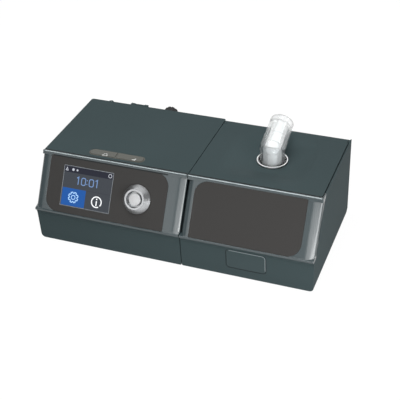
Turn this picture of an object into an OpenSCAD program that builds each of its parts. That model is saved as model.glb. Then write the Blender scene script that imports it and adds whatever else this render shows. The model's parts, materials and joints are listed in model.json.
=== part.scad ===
/* [Modules] */
// Width of the main unit, the half with the screen
main_w = 142.2; // [138:0.1:150]
// Width of the humidifier, the half with the air outlet
humid_w = 122.2; // [118:0.1:130]
// Gap between the two docked halves
seam_gap = 0.6; // [0.4:0.1:1.0]
// Depth of the body from its front knee to its rear wall
body_d = 131; // [128:1:140]
// Height of the body without its feet
body_h = 82; // [80:0.5:88]
// Height that the rubber feet stand proud of the underside
foot_drop = 1; // [0.6:0.1:2]
// Wall thickness of the moulded cases
wall = 2.4; // [2:0.1:3]

/* [Side profile] */
// Height of the front knee above the underside
knee_h = 33.5; // [30:0.5:36]
// How far the top front edge lies behind the knee
top_setback = 28.5; // [24:0.5:32]
// How far the bottom front edge lies behind the knee
toe_setback = 4; // [3.5:0.5:6]
// Step of the lower front behind the front frame's lip
lip_step = 2.5; // [1.5:0.1:3]
// Height of the hollow under the front frame's lip
hollow_h = 7; // [4:0.5:10]
// Height of the chamfer along the rear lower edge
chamfer_h = 8.5; // [6:0.5:10]
// Depth of the chamfer along the rear lower edge
chamfer_d = 11; // [8:0.5:13]
// Radius of the long lower edges at the outer sides
keel_round = 4; // [2:0.5:5]
// Radius of the upright rear corners at the outer sides
rear_round = 3; // [1:0.5:5]
// Radius of the other upright edges
edge_round = 1.5; // [1:0.1:2]
// Radius of the long top edges at the outer sides
shoulder_round = 1; // [0.5:0.1:1]

/* [Front frames] */
// Depth of the front frame behind its sloping face
frame_depth = 7; // [7:0.5:9]
// Radius of the long upright edges of the front frame
frame_round = 6.5; // [4:0.5:6.5]
// Thickness of the lid and of the top cover
lid_t = 2.4; // [2:0.1:3]
// Width of the rim that frames the lid and the top cover
rim = 1.8; // [1.6:0.1:2]
// Visible gap between the rim and the lid or the top cover
lid_gap = 0.8; // [0.5:0.1:1]
// How far the frame's top edge stands out from the sloping face
brow = 0.8; // [0.5:0.1:1]
// Radius of the lid's front corner at the outer side
lid_round = 2; // [1:0.1:2.5]
// Height of the dark inserts along the slope
insert_h = 51; // [48:0.5:52]
// Distance of the inserts from the knee along the slope
insert_up = 2.4; // [2:0.1:4]
// Large corner radius of the inserts
insert_round = 12; // [8:0.5:14]
// Small corner radius of the inserts
insert_sharp = 1.5; // [1:0.5:3]
// Thickness of the inserts
insert_t = 1.2; // [1:0.1:1.6]
// Width of the main insert
panel_w = 117; // [112:0.5:120]
// Distance of the main insert from the unit's outer side
panel_margin = 9.2; // [8:0.1:12]
// Width of the humidifier insert
window_w = 101.2; // [96:0.1:104]
// Distance of the humidifier insert from the seam side
window_margin = 8.2; // [7:0.1:11]

/* [Screen] */
// Width of the screen
screen_w = 49; // [45:0.5:55]
// Height of the screen
screen_h = 36.7; // [33:0.1:40]
// Distance of the screen from the insert's outer edge
screen_margin = 14.7; // [13:0.1:18]
// Distance of the screen from the knee along the slope
screen_up = 9.3; // [8:0.1:12]

/* [Knob] */
// Distance of the knob's axis from the unit's outer side
knob_in = 98.6; // [96:0.1:102]
// Distance of the knob's axis from the knee along the slope
knob_up = 26.9; // [24:0.1:30]
// Radius of the knob at its base
knob_r = 13.2; // [12:0.1:14]
// Radius of the knob at its front rim
knob_rim_r = 9.3; // [9:0.1:10]
// Height of the knob over the insert
knob_h = 6.8; // [6:0.1:8]
// Radius of the press button in the knob
push_r = 6.1; // [5.6:0.1:6.6]
// Travel of the press button
push_travel = 0.8; // [0.5:0.1:1]
// Radius of the knob's hollow hub
hub_r = 6.5; // [6:0.1:7]
// Depth of the control board behind the sloping face
board_depth = 12; // [11:0.5:13]

/* [Top buttons] */
// Length of the button strip
strip_l = 54.5; // [50:0.5:60]
// Width of the button strip
strip_w = 10; // [9:0.5:12]
// Distance of the strip's middle from the unit's outer side
strip_in = 69.7; // [66:0.1:74]
// Distance of the strip's middle behind the top front edge
strip_back = 10.5; // [9:0.5:14]
// Thickness of the strip's frame
strip_wall = 0.9; // [0.7:0.1:1.2]
// Travel of the two top buttons
key_travel = 0.6; // [0.4:0.1:0.8]

/* [Outlet] */
// Radius of the outlet's 22 mm connector end
outlet_r = 11; // [10.8:0.1:11.2]
// Wall of the clear outlet elbow
elbow_wall = 1.8; // [1.5:0.1:2.2]
// Length of the connector end
connector_l = 20; // [18:1:24]
// Rise of the outlet tube above the horizontal, in degrees
outlet_rise = 20; // [10:1:45]
// Height of the elbow's corner above its flange
corner_h = 11.5; // [10:0.5:16]
// Radius of the elbow's flange
flange_r = 14; // [13.5:0.1:15]
// Distance of the outlet behind the top front edge
outlet_back = 52.5; // [48:0.5:56]
// Half width of the dished hollow in the lid
dish_half = 42; // [38:0.5:43]
// How far the hollow's edge is shifted to the front
dish_shift = 2; // [0:0.5:2]
// Depth of the dished hollow
dish_depth = 5.5; // [4:0.5:6]

/* [Humidifier] */
// Width of the lid's push latch
latch_w = 36; // [30:0.5:40]
// Height of the lid's push latch
latch_h = 19.5; // [16:0.5:20]
// Distance of the latch from the underside
latch_up = 9.5; // [8.5:0.5:10]
// Corner radius of the latch
latch_round = 3; // [2:0.5:4]
// Travel of the latch
latch_travel = 2; // [1:0.5:2.5]
// Radius of the lid's rolled rear edge
barrel_r = 4; // [3.5:0.1:4.5]
// Radius of the lid's hinge pins
hinge_pin_r = 1.5; // [1.2:0.1:2]
// Length of the water chamber from side to side
tub_w = 104; // [96:1:106]
// Wall of the water chamber
tub_wall = 2; // [1.5:0.1:2.5]
// Height of the heater deck above the underside
deck_h = 12; // [11:0.5:13]
// Height of the water chamber's rim above the deck
tub_h = 48; // [44:0.5:49]

/* [Air path] */
// Radius of the spigot that docks into the humidifier
spigot_r = 11; // [10:0.5:12]
// Length of the spigot beyond the main unit's side
spigot_l = 7; // [5:0.5:8]
// Distance of the spigot in front of the rear wall
port_in = 62.5; // [61:0.5:64]
// Largest radius of the blower's spiral
volute_r = 34; // [33:0.5:35]
// Height of the blower's spiral
volute_h = 18; // [17:0.5:19]
// Radius of the impeller
impeller_r = 24; // [22:0.5:25]
// Number of blades on the impeller
blade_count = 11; // [7:1:15]
// Height of the impeller's blades
blade_h = 9; // [7:0.5:10]
// Radius of the motor
motor_r = 18; // [16:0.5:19]
// Height of the motor
motor_h = 18; // [16:0.5:19]
// Radius of the motor's shaft
shaft_r = 1.5; // [1:0.1:2]

/* [Rear] */
// Width of the filter door
door_w = 39; // [36:0.5:42]
// Height of the filter door
door_h = 47; // [42:0.5:50]
// Distance of the filter door below the top
door_down = 3.5; // [3:0.5:5]
// Distance of the door's hinge from the unit's outer side
door_in = 19.5; // [18:0.5:22]
// Radius of the door's hinge knuckles
knuckle_r = 2.6; // [2.2:0.1:3]
// Number of air slots in the filter door
slot_count = 7; // [5:1:8]
// Radius of the accessory port
port_r = 8; // [7:0.5:9]
// How far the accessory port stands out behind the rear wall
port_reach = 14; // [12:0.5:16]
// Radius of the power jack's socket
jack_r = 3.2; // [2.8:0.1:3.4]

/* [Fits] */
// Gap between pieces that move past each other
gap = 0.3; // [0.25:0.05:0.4]
// Gap round a turning shaft
run = 0.05; // [0.03:0.01:0.08]
// Gap between fixed pieces that drop into each other
fit = 0.15; // [0.1:0.05:0.2]

/* [Hidden] */
$fn = 64;
total_w = main_w + humid_w + seam_gap;
total_d = body_d + port_reach;
main_x0 = -total_w / 2;
main_x1 = main_x0 + main_w;
humid_x0 = main_x1 + seam_gap;
humid_x1 = humid_x0 + humid_w;
humid_mid = (humid_x0 + humid_x1) / 2;
front_y = -total_d / 2;
rear_y = front_y + body_d;
base_z = foot_drop;
top_z = base_z + body_h;
knee_z = base_z + knee_h;
ledge_z = top_z - lid_t;
lean = atan(top_setback / (body_h - knee_h));
lip_edge = 0.4;
lip_t = 2.2;
frame_run = frame_depth / cos(lean);
slope_l = (body_h - knee_h) / cos(lean);
edge_y = front_y + top_setback;
chamfer_slope = chamfer_h / chamfer_d;
heel_y = rear_y - chamfer_d - wall * sqrt(1 + 1 / pow(chamfer_slope, 2));
far = 300;
case_color = "darkslategray";
trim_color = "slategray";
insert_color = "dimgray";

// Front of the sloping face at a given height
function front_at(z) = front_y + (z - knee_z) * tan(lean);
// Inner face of the rear chamfer's wall at a given height
function heel_at(z) = heel_y + (z - base_z) / chamfer_slope;
// Front of the lower wall at a given height
function toe_at(z) = front_y + toe_setback - (toe_setback - lip_step) * (z - base_z) / knee_h;

// Rectangle with its own radius at each corner, from the lower left corner anticlockwise
module corner_rect(x0, y0, x1, y1, r) {
    polygon([
        [x0 + r[0], y0], [x1 - r[1], y0], [x1, y0 + r[1]], [x1, y1 - r[2]],
        [x1 - r[2], y1], [x0 + r[3], y1], [x0, y1 - r[3]], [x0, y0 + r[0]]
    ]);
    centres = [
        [x0 + r[0], y0 + r[0]], [x1 - r[1], y0 + r[1]],
        [x1 - r[2], y1 - r[2]], [x0 + r[3], y1 - r[3]]
    ];
    for (i = [0:3])
        if (r[i] > 0) translate(centres[i]) circle(r[i]);
}

module stadium(l, w) {
    square([l - w, w], center = true);
    for (s = [-1, 1]) translate([s * (l - w) / 2, 0]) circle(w / 2);
}

// Outline in Y and Z, run from x0 to x1
module along_x(x0, x1) {
    translate([x0, 0, 0]) rotate([90, 0, 90]) linear_extrude(x1 - x0) children();
}

// Outline in X and Z, run from y0 to y1
module along_y(y0, y1) {
    translate([0, y1, 0]) rotate([90, 0, 0]) linear_extrude(y1 - y0) children();
}

// Outline in X and Y, run from z0 to z1
module along_z(z0, z1) {
    translate([0, 0, z0]) linear_extrude(z1 - z0) children();
}

module block(x0, y0, z0, x1, y1, z1) {
    translate([x0, y0, z0]) cube([x1 - x0, y1 - y0, z1 - z0]);
}

module rod_x(x0, x1, y, z, r) {
    translate([x0, y, z]) rotate([0, 90, 0]) cylinder(h = x1 - x0, r = r);
}

module rod_y(x, y0, y1, z, r) {
    translate([x, y1, z]) rotate([90, 0, 0]) cylinder(h = y1 - y0, r = r);
}

module rod_z(x, y, z0, z1, r) {
    translate([x, y, z0]) cylinder(h = z1 - z0, r = r);
}

// Places its children on the sloping face: X across, Y up the slope, Z outwards
module on_slope() {
    translate([0, front_y, knee_z]) rotate([90 - lean, 0, 0]) children();
}

// Slab behind the sloping face from depth d0 to depth d1, cut level at z0 and z1, with rounded front edges
module slope_slab(x0, x1, d0, d1, z0, z1, r0, r1) {
    intersection() {
        on_slope() translate([0, far, 0]) rotate([90, 0, 0]) linear_extrude(2 * far)
            corner_rect(x0, -far, x1, -d0, [0, 0, r1, r0]);
        on_slope() translate([-far, -far, -d1]) cube([2 * far, 2 * far, d1]);
        block(-far, -far, z0, far, far, z1);
    }
}

// Space that a lid or cover fills behind the frame's rim, grown to the front by g
module lid_space(x0, x1, g, z0, z1, back, r) {
    intersection() {
        slope_slab(x0, x1, rim - g, far, z0, z1, 0, r);
        block(-far, -far, z0, far, back, z1);
    }
}

// Dark insert outline on the slope, inset by d
module insert_outline(x0, w, d, radii) {
    corner_rect(
        x0 + d, insert_up + d, x0 + w - d, insert_up + insert_h - d,
        [for (r = radii) max(r - d, 0.5)]
    );
}

// Case profile in Y and Z: lower front with the hollow under the lip, slope, top and rear chamfer
module case_profile() {
    hollow_y = toe_at(knee_z - hollow_h);
    polygon(concat(
        [[toe_at(base_z), base_z]],
        [for (a = [0:15:90])
            [front_y + lip_edge + (hollow_y - front_y - lip_edge) * cos(a), knee_z - hollow_h * (1 - sin(a))]],
        [
            [front_y + frame_run, knee_z], [edge_y + frame_run, top_z], [rear_y, top_z],
            [rear_y, base_z + chamfer_h], [rear_y - chamfer_d, base_z]
        ]
    ));
}

// Cavity profile in Y and Z, open towards the frame and the lid
module cavity_profile(low_z) {
    back = rear_y - wall;
    heel_z = max(base_z + (back - heel_y) * chamfer_slope, low_z);
    polygon([
        [toe_at(low_z) + wall, low_z], [front_y + lip_step + wall, knee_z - wall],
        [front_y + frame_run, knee_z - wall], [front_y + frame_run, knee_z],
        [front_y + frame_run - gap, knee_z], [edge_y + frame_run, top_z + wall],
        [back, top_z + wall], [back, heel_z], [min(heel_at(low_z), back), low_z]
    ]);
}

// Rounded box round one unit, with radii for its long edges and its two rear corners
module unit_box(x0, x1, long_r, rear_r) {
    intersection() {
        along_y(-far, far) corner_rect(x0, base_z, x1, top_z, long_r);
        along_z(0, far)
            corner_rect(x0, front_y, x1, rear_y, [edge_round, edge_round, rear_r[0], rear_r[1]]);
    }
}

module main_box() {
    unit_box(main_x0, main_x1, [keel_round, 1, 0, shoulder_round], [edge_round, rear_round]);
}

module humid_box() {
    unit_box(humid_x0, humid_x1, [1, keel_round, shoulder_round, 0], [rear_round, edge_round]);
}

// Front frame: rounded columns between two sharp lips, with a seat for the insert
module front_frame(x0, x1, ix0, iw, radii, seat_z) {
    difference() {
        union() {
            slope_slab(
                x0 + 0.1, x1 - 0.1, 0.1, frame_depth, knee_z + 1, seat_z - 0.3, frame_round, frame_round
            );
            lower_lip(x0, x1);
            upper_lip(x0, x1, seat_z - 0.6);
        }
        slope_slab(
            x0 + wall, x1 - wall, wall, frame_depth + wall, knee_z + wall, seat_z - wall,
            frame_round - wall, frame_round - wall
        );
        on_slope() translate([0, 0, -insert_t - fit]) linear_extrude(wall)
            insert_outline(ix0, iw, -fit, radii);
        on_slope() translate([0, 0, -2 * wall]) linear_extrude(2 * wall)
            insert_outline(ix0, iw, 3, radii);
    }
}

module lower_lip(x0, x1) {
    z1 = knee_z + lip_t;
    along_x(x0, x1) polygon([
        [front_y + lip_edge, knee_z], [front_y, knee_z + lip_edge], [front_y, z1 - lip_edge],
        [front_y + lip_edge, z1], [front_at(z1) + frame_run, z1], [front_y + frame_run, knee_z]
    ]);
}

module upper_lip(x0, x1, z0) {
    brow_y = edge_y - brow;
    along_x(x0, x1) polygon([
        [front_at(z0), z0], [brow_y, top_z - brow / tan(lean)], [brow_y, top_z - lip_edge],
        [brow_y + lip_edge, top_z], [edge_y + frame_run, top_z], [front_at(z0) + frame_run, z0]
    ]);
}

// Countersunk cap screw standing head down, with a cross recess
module screw(x, y, z, head_r, shank_r, l) {
    difference() {
        union() {
            rod_z(x, y, z, z + 2, head_r);
            rod_z(x, y, z + 2, z + l, shank_r);
        }
        for (a = [0, 90]) translate([x, y, z]) rotate(a) cube([0.8, 3, 2], center = true);
    }
}

module foot(x, y) {
    rod_z(x, y, 0, base_z + 1, foot_r);
}

// Main unit: values shared by its pieces
panel_x0 = main_x0 + panel_margin;
panel_radii = [insert_round, insert_sharp, insert_round, insert_sharp];
screen_x0 = panel_x0 + screen_margin;
board_posts_x = [panel_x0 - 0.7, panel_x0 + panel_w + 0.7];
board_v = 4;
board_l = slope_l - 11.25;
board_posts_v = [board_v + 5, board_v + board_l - 6];
board_side = 2.4;
knob_x = main_x0 + knob_in;
strip_x = main_x0 + strip_in;
strip_y = edge_y + strip_back;
floor_z = base_z + wall;
foot_r = 5.5;
foot_in = 12;
foot_front = front_y + 16;
foot_rear = rear_y - 28;
main_feet_at = [for (x = [main_x0 + foot_in, main_x1 - foot_in], y = [foot_front, foot_rear]) [x, y]];
pillar_r = 3.2;
pillar_in = pillar_r + wall + 0.4;
pillar_rear = rear_y - chamfer_d - pillar_r - 1.8;
main_screws_at = [
    for (x = [main_x0 + pillar_in, main_x1 - pillar_in], y = [front_y + 46.5, pillar_rear]) [x, y]
];
boss_r = pillar_r + 1.4;
screw_head_r = 2.8;
screw_shank_r = 1.4;
screw_l = 12;
board_t = 1.6;
main_board_z = floor_z + 5;
main_board_x = main_x0 + pillar_in + boss_r + 1;
main_board_w = 52;
main_board_y = front_y + 20.5;
key_board_z = top_z - 11.5;
port_y = rear_y - port_in;
main_board_rear = port_y + 9;

// Blower: values shared by its pieces
blower_x = main_x1 - 37.7;
blower_y = port_y + 24;
inlet_r = 8.5;
cover_rise = 3;
motor_gap = 4;
neck_r = 12;
nose_r = 6;
ear_h = 3;
grommet_t = 2;
grommet_r = 2;
throat_in = 12;
throat_l = 13;
duct_lap = 4;
duct_wall = 2;
duct_seat_l = 3;
spigot_wall = 1.8;
wheel_hub_r = 5;
duct_r = inlet_r + 1.4;
duct_bend = duct_r + 1;
duct_z = ledge_z - duct_r - 2.8;
inlet_top = duct_z - duct_bend;
blower_top = inlet_top - cover_rise;
volute_z = blower_top - volute_h;
motor_z = volute_z - motor_gap - motor_h;
volute_wall = 1.8;
volute_start = impeller_r + volute_wall + 1.2;
port_z = volute_z + volute_h / 2;
ear_r = 5;
ears_at = [for (a = [135, 225, 315]) spiral(a, -ear_r + grommet_r)];
bearing_r = 4;
bearing_h = 3;
bearing_at = [motor_z + 2, volute_z + volute_wall - bearing_h];
impeller_z = volute_z + volute_wall + 2;
throat_r = volute_h / 2 - 1.2;

// Rear door: values shared by its pieces
hinge_x = main_x0 + door_in;
hinge_y = rear_y + knuckle_r + gap;
door_x0 = hinge_x + knuckle_r + 0.6;
door_x1 = door_x0 + door_w;
door_z1 = top_z - door_down;
door_z0 = door_z1 - door_h;
door_pin_r = 1;
lug_h = 6;
lug_rise = 1.4;
door_sink = 1;
tab_w = 18;
muffler_x0 = main_x0 + pillar_in + pillar_r + 0.4;
muffler_x1 = blower_x - volute_r - 4;
muffler_y0 = blower_y - 14;
muffler_z0 = floor_z + 12;
muffler_z1 = ledge_z - 2;
muffler_wall = 1.6;
bar_count = 4;
filter_t = 5;
filter_front = rear_y - door_sink - gap - filter_t;
cap_x = door_x1 + 0.6 * (blower_x - door_x1) - 7.38;
stub_r = port_r - 3;
cap_seat_r = port_r - 2;
port_bore_r = port_r - 4;
cap_grip = 6;
port_flange_t = 2;
stub_l = 4;
cap_z = top_z - 12;
jack_x = main_x1 - 26;
jack_z = base_z + 19;
jack_body_r = jack_r + 1.8;
jack_half = 6.5;
jack_in = 9.5;
jack_pin_r = 1.25;
flap_y1 = port_y + 9;
flap_y0 = flap_y1 - 22;
flap_z0 = base_z + 6.5;
flap_z1 = flap_z0 + 8;
flap_t = 1;
flap_pin_r = 0.6;
reader_w = 26;
slot_y0 = flap_y0 + 2;
slot_y1 = flap_y1 - 2;
slot_z0 = (flap_z0 + flap_z1) / 2 - 1.2;
slot_z1 = slot_z0 + 2.4;
dock_y = rear_y - 36;
dock_z = base_z + 6.5;
dock_w = 22;
dock_h = 5;

module main_case() {
    color(case_color) difference() {
        union() {
            difference() {
                intersection() {
                    along_x(main_x0, main_x1) case_profile();
                    main_box();
                }
                along_x(main_x0 + wall, main_x1 - wall) cavity_profile(floor_z);
            }
            for (p = main_screws_at) rod_z(p[0], p[1], floor_z, floor_z + 6, boss_r);
            for (p = ears_at)
                rod_z(blower_x + p[0], blower_y + p[1], floor_z, volute_z - grommet_t, ear_r - 1);
            for (x = [4, main_board_w - 6], y = [main_board_y + 6, main_board_rear - 8])
                rod_z(main_board_x + x, y, floor_z, main_board_z, 3);
            for (z = [door_z0, door_z1 - lug_h + lug_rise]) door_lug(z);
        }
        for (p = main_screws_at) {
            rod_z(p[0], p[1], base_z - 1, base_z + 2.2, screw_head_r + fit);
            rod_z(p[0], p[1], base_z, floor_z + 7, screw_shank_r + fit);
            rod_z(p[0], p[1], floor_z + 2, floor_z + 7, pillar_r + fit);
        }
        for (p = main_feet_at) rod_z(p[0], p[1], base_z - 1, base_z + 1, foot_r);
        lid_space(main_x0 - 1, main_x1 + 1, lid_gap, ledge_z, top_z + 1, rear_y, 0);
        filter_doorway();
        card_doorway();
        rod_y(jack_x, rear_y - 2 * wall, far, jack_z, jack_body_r);
        rod_y(cap_x, rear_y - 2 * wall, far, cap_z, stub_r);
        rod_x(main_x1 - 2 * wall, far, port_y, port_z, spigot_r);
        dock_space(main_x1 - 2 * wall, far, 0);
    }
}

// Recess and window behind the filter door, and the bore for its hinge pin
module filter_doorway() {
    block(
        door_x0 - gap, rear_y - door_sink - gap, door_z0 - gap,
        door_x1 + gap, far, door_z1 + gap
    );
    block(door_x0 + 3, rear_y - 2 * wall, door_z0 + 3, door_x1 - 3, far, door_z1 - 3);
    rod_z(hinge_x, hinge_y, 0, far, door_pin_r);
}

// Recess for the card flap, and the slot behind it
module card_doorway() {
    block(-far, flap_y0 - gap, flap_z0 - gap, main_x0 + flap_t + gap, flap_y1 + gap, flap_z1 + gap);
    block(-far, slot_y0, slot_z0, main_x0 + 2 * wall, slot_y1, slot_z1);
}

// Cross-section of the dock plug grown by d, from x0 to x1
module dock_space(x0, x1, d) {
    block(
        x0, dock_y - dock_w / 2 - d, dock_z - dock_h / 2 - d,
        x1, dock_y + dock_w / 2 + d, dock_z + dock_h / 2 + d
    );
}

// Fixed lug of the filter door's hinge, joined to the rear wall
module door_lug(z) {
    rod_z(hinge_x, hinge_y, z, z + lug_h, knuckle_r);
    block(hinge_x - knuckle_r, rear_y - wall, z, hinge_x + knuckle_r, hinge_y, z + lug_h);
}

module main_top_cover() {
    color(case_color) difference() {
        union() {
            intersection() {
                lid_space(main_x0, main_x1, 0, ledge_z, top_z, rear_y, 0);
                main_box();
            }
            for (p = main_screws_at) rod_z(p[0], p[1], floor_z + 2, ledge_z, pillar_r);
            for (s = [-1, 1]) key_post(s);
        }
        along_z(ledge_z - 1, top_z + 1) translate([strip_x, strip_y])
            stadium(strip_l + 2 * fit, strip_w + 2 * fit);
        for (p = main_screws_at) rod_z(p[0], p[1], 0, base_z + 2 + screw_l, screw_shank_r);
    }
}

// Post under the top cover that carries one end of the button board
module key_post(s) {
    rod_z(strip_x + s * (strip_l / 2 + 4), strip_y, key_board_z + board_t, ledge_z, 2);
}

module main_bezel() {
    color(trim_color) {
        difference() {
            front_frame(main_x0, main_x1, panel_x0, panel_w, panel_radii, ledge_z);
            lid_space(main_x0 - 1, main_x1 + 1, lid_gap, ledge_z, top_z + 1, far, 0);
            along_z(ledge_z - 2 - gap, far) translate([strip_x, strip_y])
                stadium(strip_l + 3 + 2 * gap, strip_w + 3 + 2 * gap);
        }
        for (x = board_posts_x, v = board_posts_v)
            on_slope() translate([x, v, -board_depth]) cylinder(h = board_depth - wall + 0.2, r = 2);
    }
}

module control_panel() {
    color(insert_color) on_slope() difference() {
        translate([0, 0, -insert_t - 0.1]) linear_extrude(insert_t)
            insert_outline(panel_x0, panel_w, 0, panel_radii);
        translate([screen_x0 - fit, screen_up - fit, -2 * insert_t])
            cube([screen_w + 2 * fit, screen_h + 2 * fit, 3 * insert_t]);
        translate([knob_x, knob_up, -2 * insert_t]) cylinder(h = 3 * insert_t, r = hub_r + gap);
    }
}

module screen_lens() {
    color("midnightblue") on_slope() translate([screen_x0, screen_up, -insert_t - 0.15])
        cube([screen_w, screen_h, insert_t]);
}

// Screen behind the lens, with a rim and four legs down to its board
module display_module() {
    back = -board_depth;
    color("silver") on_slope() difference() {
        union() {
            translate([screen_x0 - 4, screen_up - 1.5, back + 6.8])
                cube([screen_w + 8, screen_h + 4.5, board_depth - 6.8 - insert_t - 0.15]);
            for (x = [screen_x0 - 4, screen_x0 + screen_w], y = [screen_up - 1.5, screen_up + screen_h - 1])
                translate([x, y, back]) cube([4, 4, 7]);
        }
        translate([screen_x0 + 2, screen_up + 2, back + 5]) cube([screen_w - 4, screen_h - 4, 2.6]);
    }
}

module control_board() {
    color("darkgreen") on_slope() difference() {
        translate([board_posts_x[0] - board_side, board_v, -board_depth - board_t])
            cube([board_posts_x[1] - board_posts_x[0] + 2 * board_side, board_l, board_t]);
        for (x = board_posts_x, v = board_posts_v)
            translate([x, v, -board_depth - board_t - 1]) cylinder(h = board_t + 2, r = 1.2);
    }
}

// Rotary encoder with a deep socket for the knob's hub and a switch at its bottom
module knob_encoder() {
    socket = -9 - gap;
    color("gray") on_slope() translate([knob_x, knob_up, 0]) difference() {
        union() {
            translate([0, 0, -board_depth]) cylinder(h = board_depth - 5.2, r = 10);
            translate([-9, -9, -board_depth]) cube([18, 18, 3]);
        }
        translate([0, 0, socket]) cylinder(h = far, r = hub_r + run);
    }
}

// Turning ring: a brushed cone with a raised front rim and a hollow hub
module knob_ring() {
    recess_r = push_r + 1.6;
    color("silver") on_slope() translate([knob_x, knob_up, 0]) rotate_extrude() polygon([
        [3.9 + run, -9], [hub_r, -9], [hub_r, 0.4], [knob_r, 0.4], [knob_r, 1.2],
        [knob_rim_r + 0.3, knob_h - 0.5], [knob_rim_r, knob_h], [recess_r, knob_h],
        [recess_r, 2.4], [3.9 + run, 2.4]
    ]);
}

module knob_button() {
    color("whitesmoke") on_slope() translate([knob_x, knob_up, 0]) rotate_extrude() polygon([
        [0, -8.2], [3.9, -8.2], [3.9, 2.4 + push_travel + gap], [push_r, 2.4 + push_travel + gap],
        [push_r, knob_h - 1.2], [push_r - 0.4, knob_h - 0.8], [0, knob_h - 0.6]
    ]);
}

module button_frame() {
    color("gray") translate([strip_x, strip_y, 0]) difference() {
        union() {
            along_z(ledge_z - 2, top_z) stadium(strip_l, strip_w);
            along_z(ledge_z - 0.8, ledge_z) stadium(strip_l + 3, strip_w + 3);
        }
        for (s = [-1, 1]) along_z(0, far) key_outline(s, 0);
    }
}

// Half of the strip, left for s = -1 and right for s = 1, inset by d
module key_outline(s, d) {
    intersection() {
        stadium(strip_l - 2 * (strip_wall + d), strip_w - 2 * (strip_wall + d));
        translate([s > 0 ? 0.6 + d : -far, -far / 2]) square([far - 0.6 - d, far]);
    }
}

// Sprung key: a cap in the strip, a catch under its frame and a stem over its switch
module key_cap(s) {
    switch_top = key_board_z + board_t + 3.5;
    catch_top = ledge_z - 2 - gap;
    translate([strip_x, strip_y, 0]) {
        along_z(catch_top, top_z + gap) key_outline(s, gap);
        along_z(catch_top - 0.8, catch_top) key_outline(s, -0.3);
        rod_z(s * 12, 0, switch_top + gap, catch_top - 0.8, 2);
    }
}

module mute_button() {
    color("gray") key_cap(-1);
}

module ramp_button() {
    color("gray") key_cap(1);
}

module button_board() {
    color("darkgreen") {
        block(
            strip_x - strip_l / 2 - 7, strip_y - 2.6, key_board_z,
            strip_x + strip_l / 2 + 7, strip_y + 8, key_board_z + board_t
        );
        for (s = [-1, 1]) {
            block(
                strip_x + s * 12 - 3, strip_y - 2.6, key_board_z + board_t,
                strip_x + s * 12 + 3, strip_y + 3, key_board_z + board_t + 2.6
            );
            rod_z(strip_x + s * 12, strip_y, key_board_z, key_board_z + board_t + 3.5 - key_travel, 1.6);
        }
    }
}

module main_board() {
    x = main_board_x;
    z = main_board_z;
    color("darkgreen") {
        block(x, main_board_y, z, x + main_board_w, main_board_rear, z + board_t);
        for (i = [0:2]) rod_z(x + main_board_w - 8, main_board_y + 10 + 11 * i, z, z + 12, 4);
        block(x + 14, main_board_y + 8, z, x + 28, main_board_y + 22, z + 3);
        block(x + 28, main_board_rear - 13, z, x + main_board_w - 2, main_board_rear - 4, z + 8);
    }
}

module card_reader() {
    x0 = main_x0 + wall;
    color("silver") difference() {
        block(x0, flap_y0, main_board_z + board_t, x0 + reader_w, flap_y1, slot_z1 + 1.4);
        block(x0 - 1, slot_y0, slot_z0, x0 + reader_w - 3, slot_y1, slot_z1);
    }
}

// Flap over the card slot, with a round edge at the bottom on which it hinges
module card_flap() {
    color(case_color) difference() {
        union() {
            block(main_x0, flap_y0, flap_z0 + flap_pin_r, main_x0 + flap_t, flap_y1, flap_z1);
            rod_y(main_x0 + flap_pin_r, flap_y0, flap_y1, flap_z0 + flap_pin_r, flap_pin_r);
        }
        rod_y(main_x0, flap_y1 - 8, flap_y1 - 4, flap_z1, 1);
    }
}

// Point on the spiral wall, which grows through one turn, inset by d
function spiral(a, d) =
    (volute_start + (volute_r - volute_start) * a / 360 - d) * [cos(a - 90), sin(a - 90)];

// Outline of the spiral with its straight throat towards the outlet
module volute_outline(d) {
    polygon([for (a = [0:7.5:360]) spiral(a, d)]);
    translate([0, -volute_r + d]) square([volute_r - duct_lap, volute_r - volute_start + throat_l - 2 * d]);
}

module blower_housing() {
    color("dimgray") difference() {
        translate([blower_x, blower_y, 0]) union() {
            along_z(volute_z, blower_top - volute_wall) volute_outline(0);
            for (p = ears_at) rod_z(p[0], p[1], volute_z, volute_z + ear_h, ear_r);
        }
        translate([blower_x, blower_y, 0]) {
            along_z(volute_z + volute_wall, far) volute_outline(volute_wall);
            rod_z(0, 0, 0, far, nose_r + fit);
            for (p = ears_at) rod_z(p[0], p[1], 0, far, grommet_r);
        }
        rod_x(blower_x + volute_r - throat_in, far, port_y, port_z, throat_r);
    }
}

module blower_cover() {
    color("gray") translate([blower_x, blower_y, 0]) difference() {
        union() {
            along_z(blower_top - volute_wall, blower_top) volute_outline(0);
            rod_z(0, 0, blower_top, inlet_top, duct_r);
        }
        rod_z(0, 0, 0, far, inlet_r);
    }
}

// Motor can under the spiral, with a bearing seat at each end
module blower_motor() {
    color("silver") translate([blower_x, blower_y, 0]) difference() {
        union() {
            rod_z(0, 0, motor_z, motor_z + motor_h, motor_r);
            rod_z(0, 0, motor_z + motor_h, volute_z + volute_wall, nose_r);
            rod_z(0, 0, motor_z + motor_h, volute_z, neck_r);
        }
        rod_z(0, 0, motor_z + 2, far, shaft_r + 1.2);
        for (z = bearing_at) rod_z(0, 0, z, z + bearing_h, bearing_r);
    }
}

module motor_bearings() {
    color("silver") translate([blower_x, blower_y, 0])
        for (z = bearing_at) difference() {
            rod_z(0, 0, z, z + bearing_h, bearing_r);
            rod_z(0, 0, z - 1, z + bearing_h + 1, shaft_r + run);
        }
}

module motor_shaft() {
    color("silver") rod_z(blower_x, blower_y, motor_z + 2 + gap, impeller_z + 5, shaft_r);
}

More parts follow.
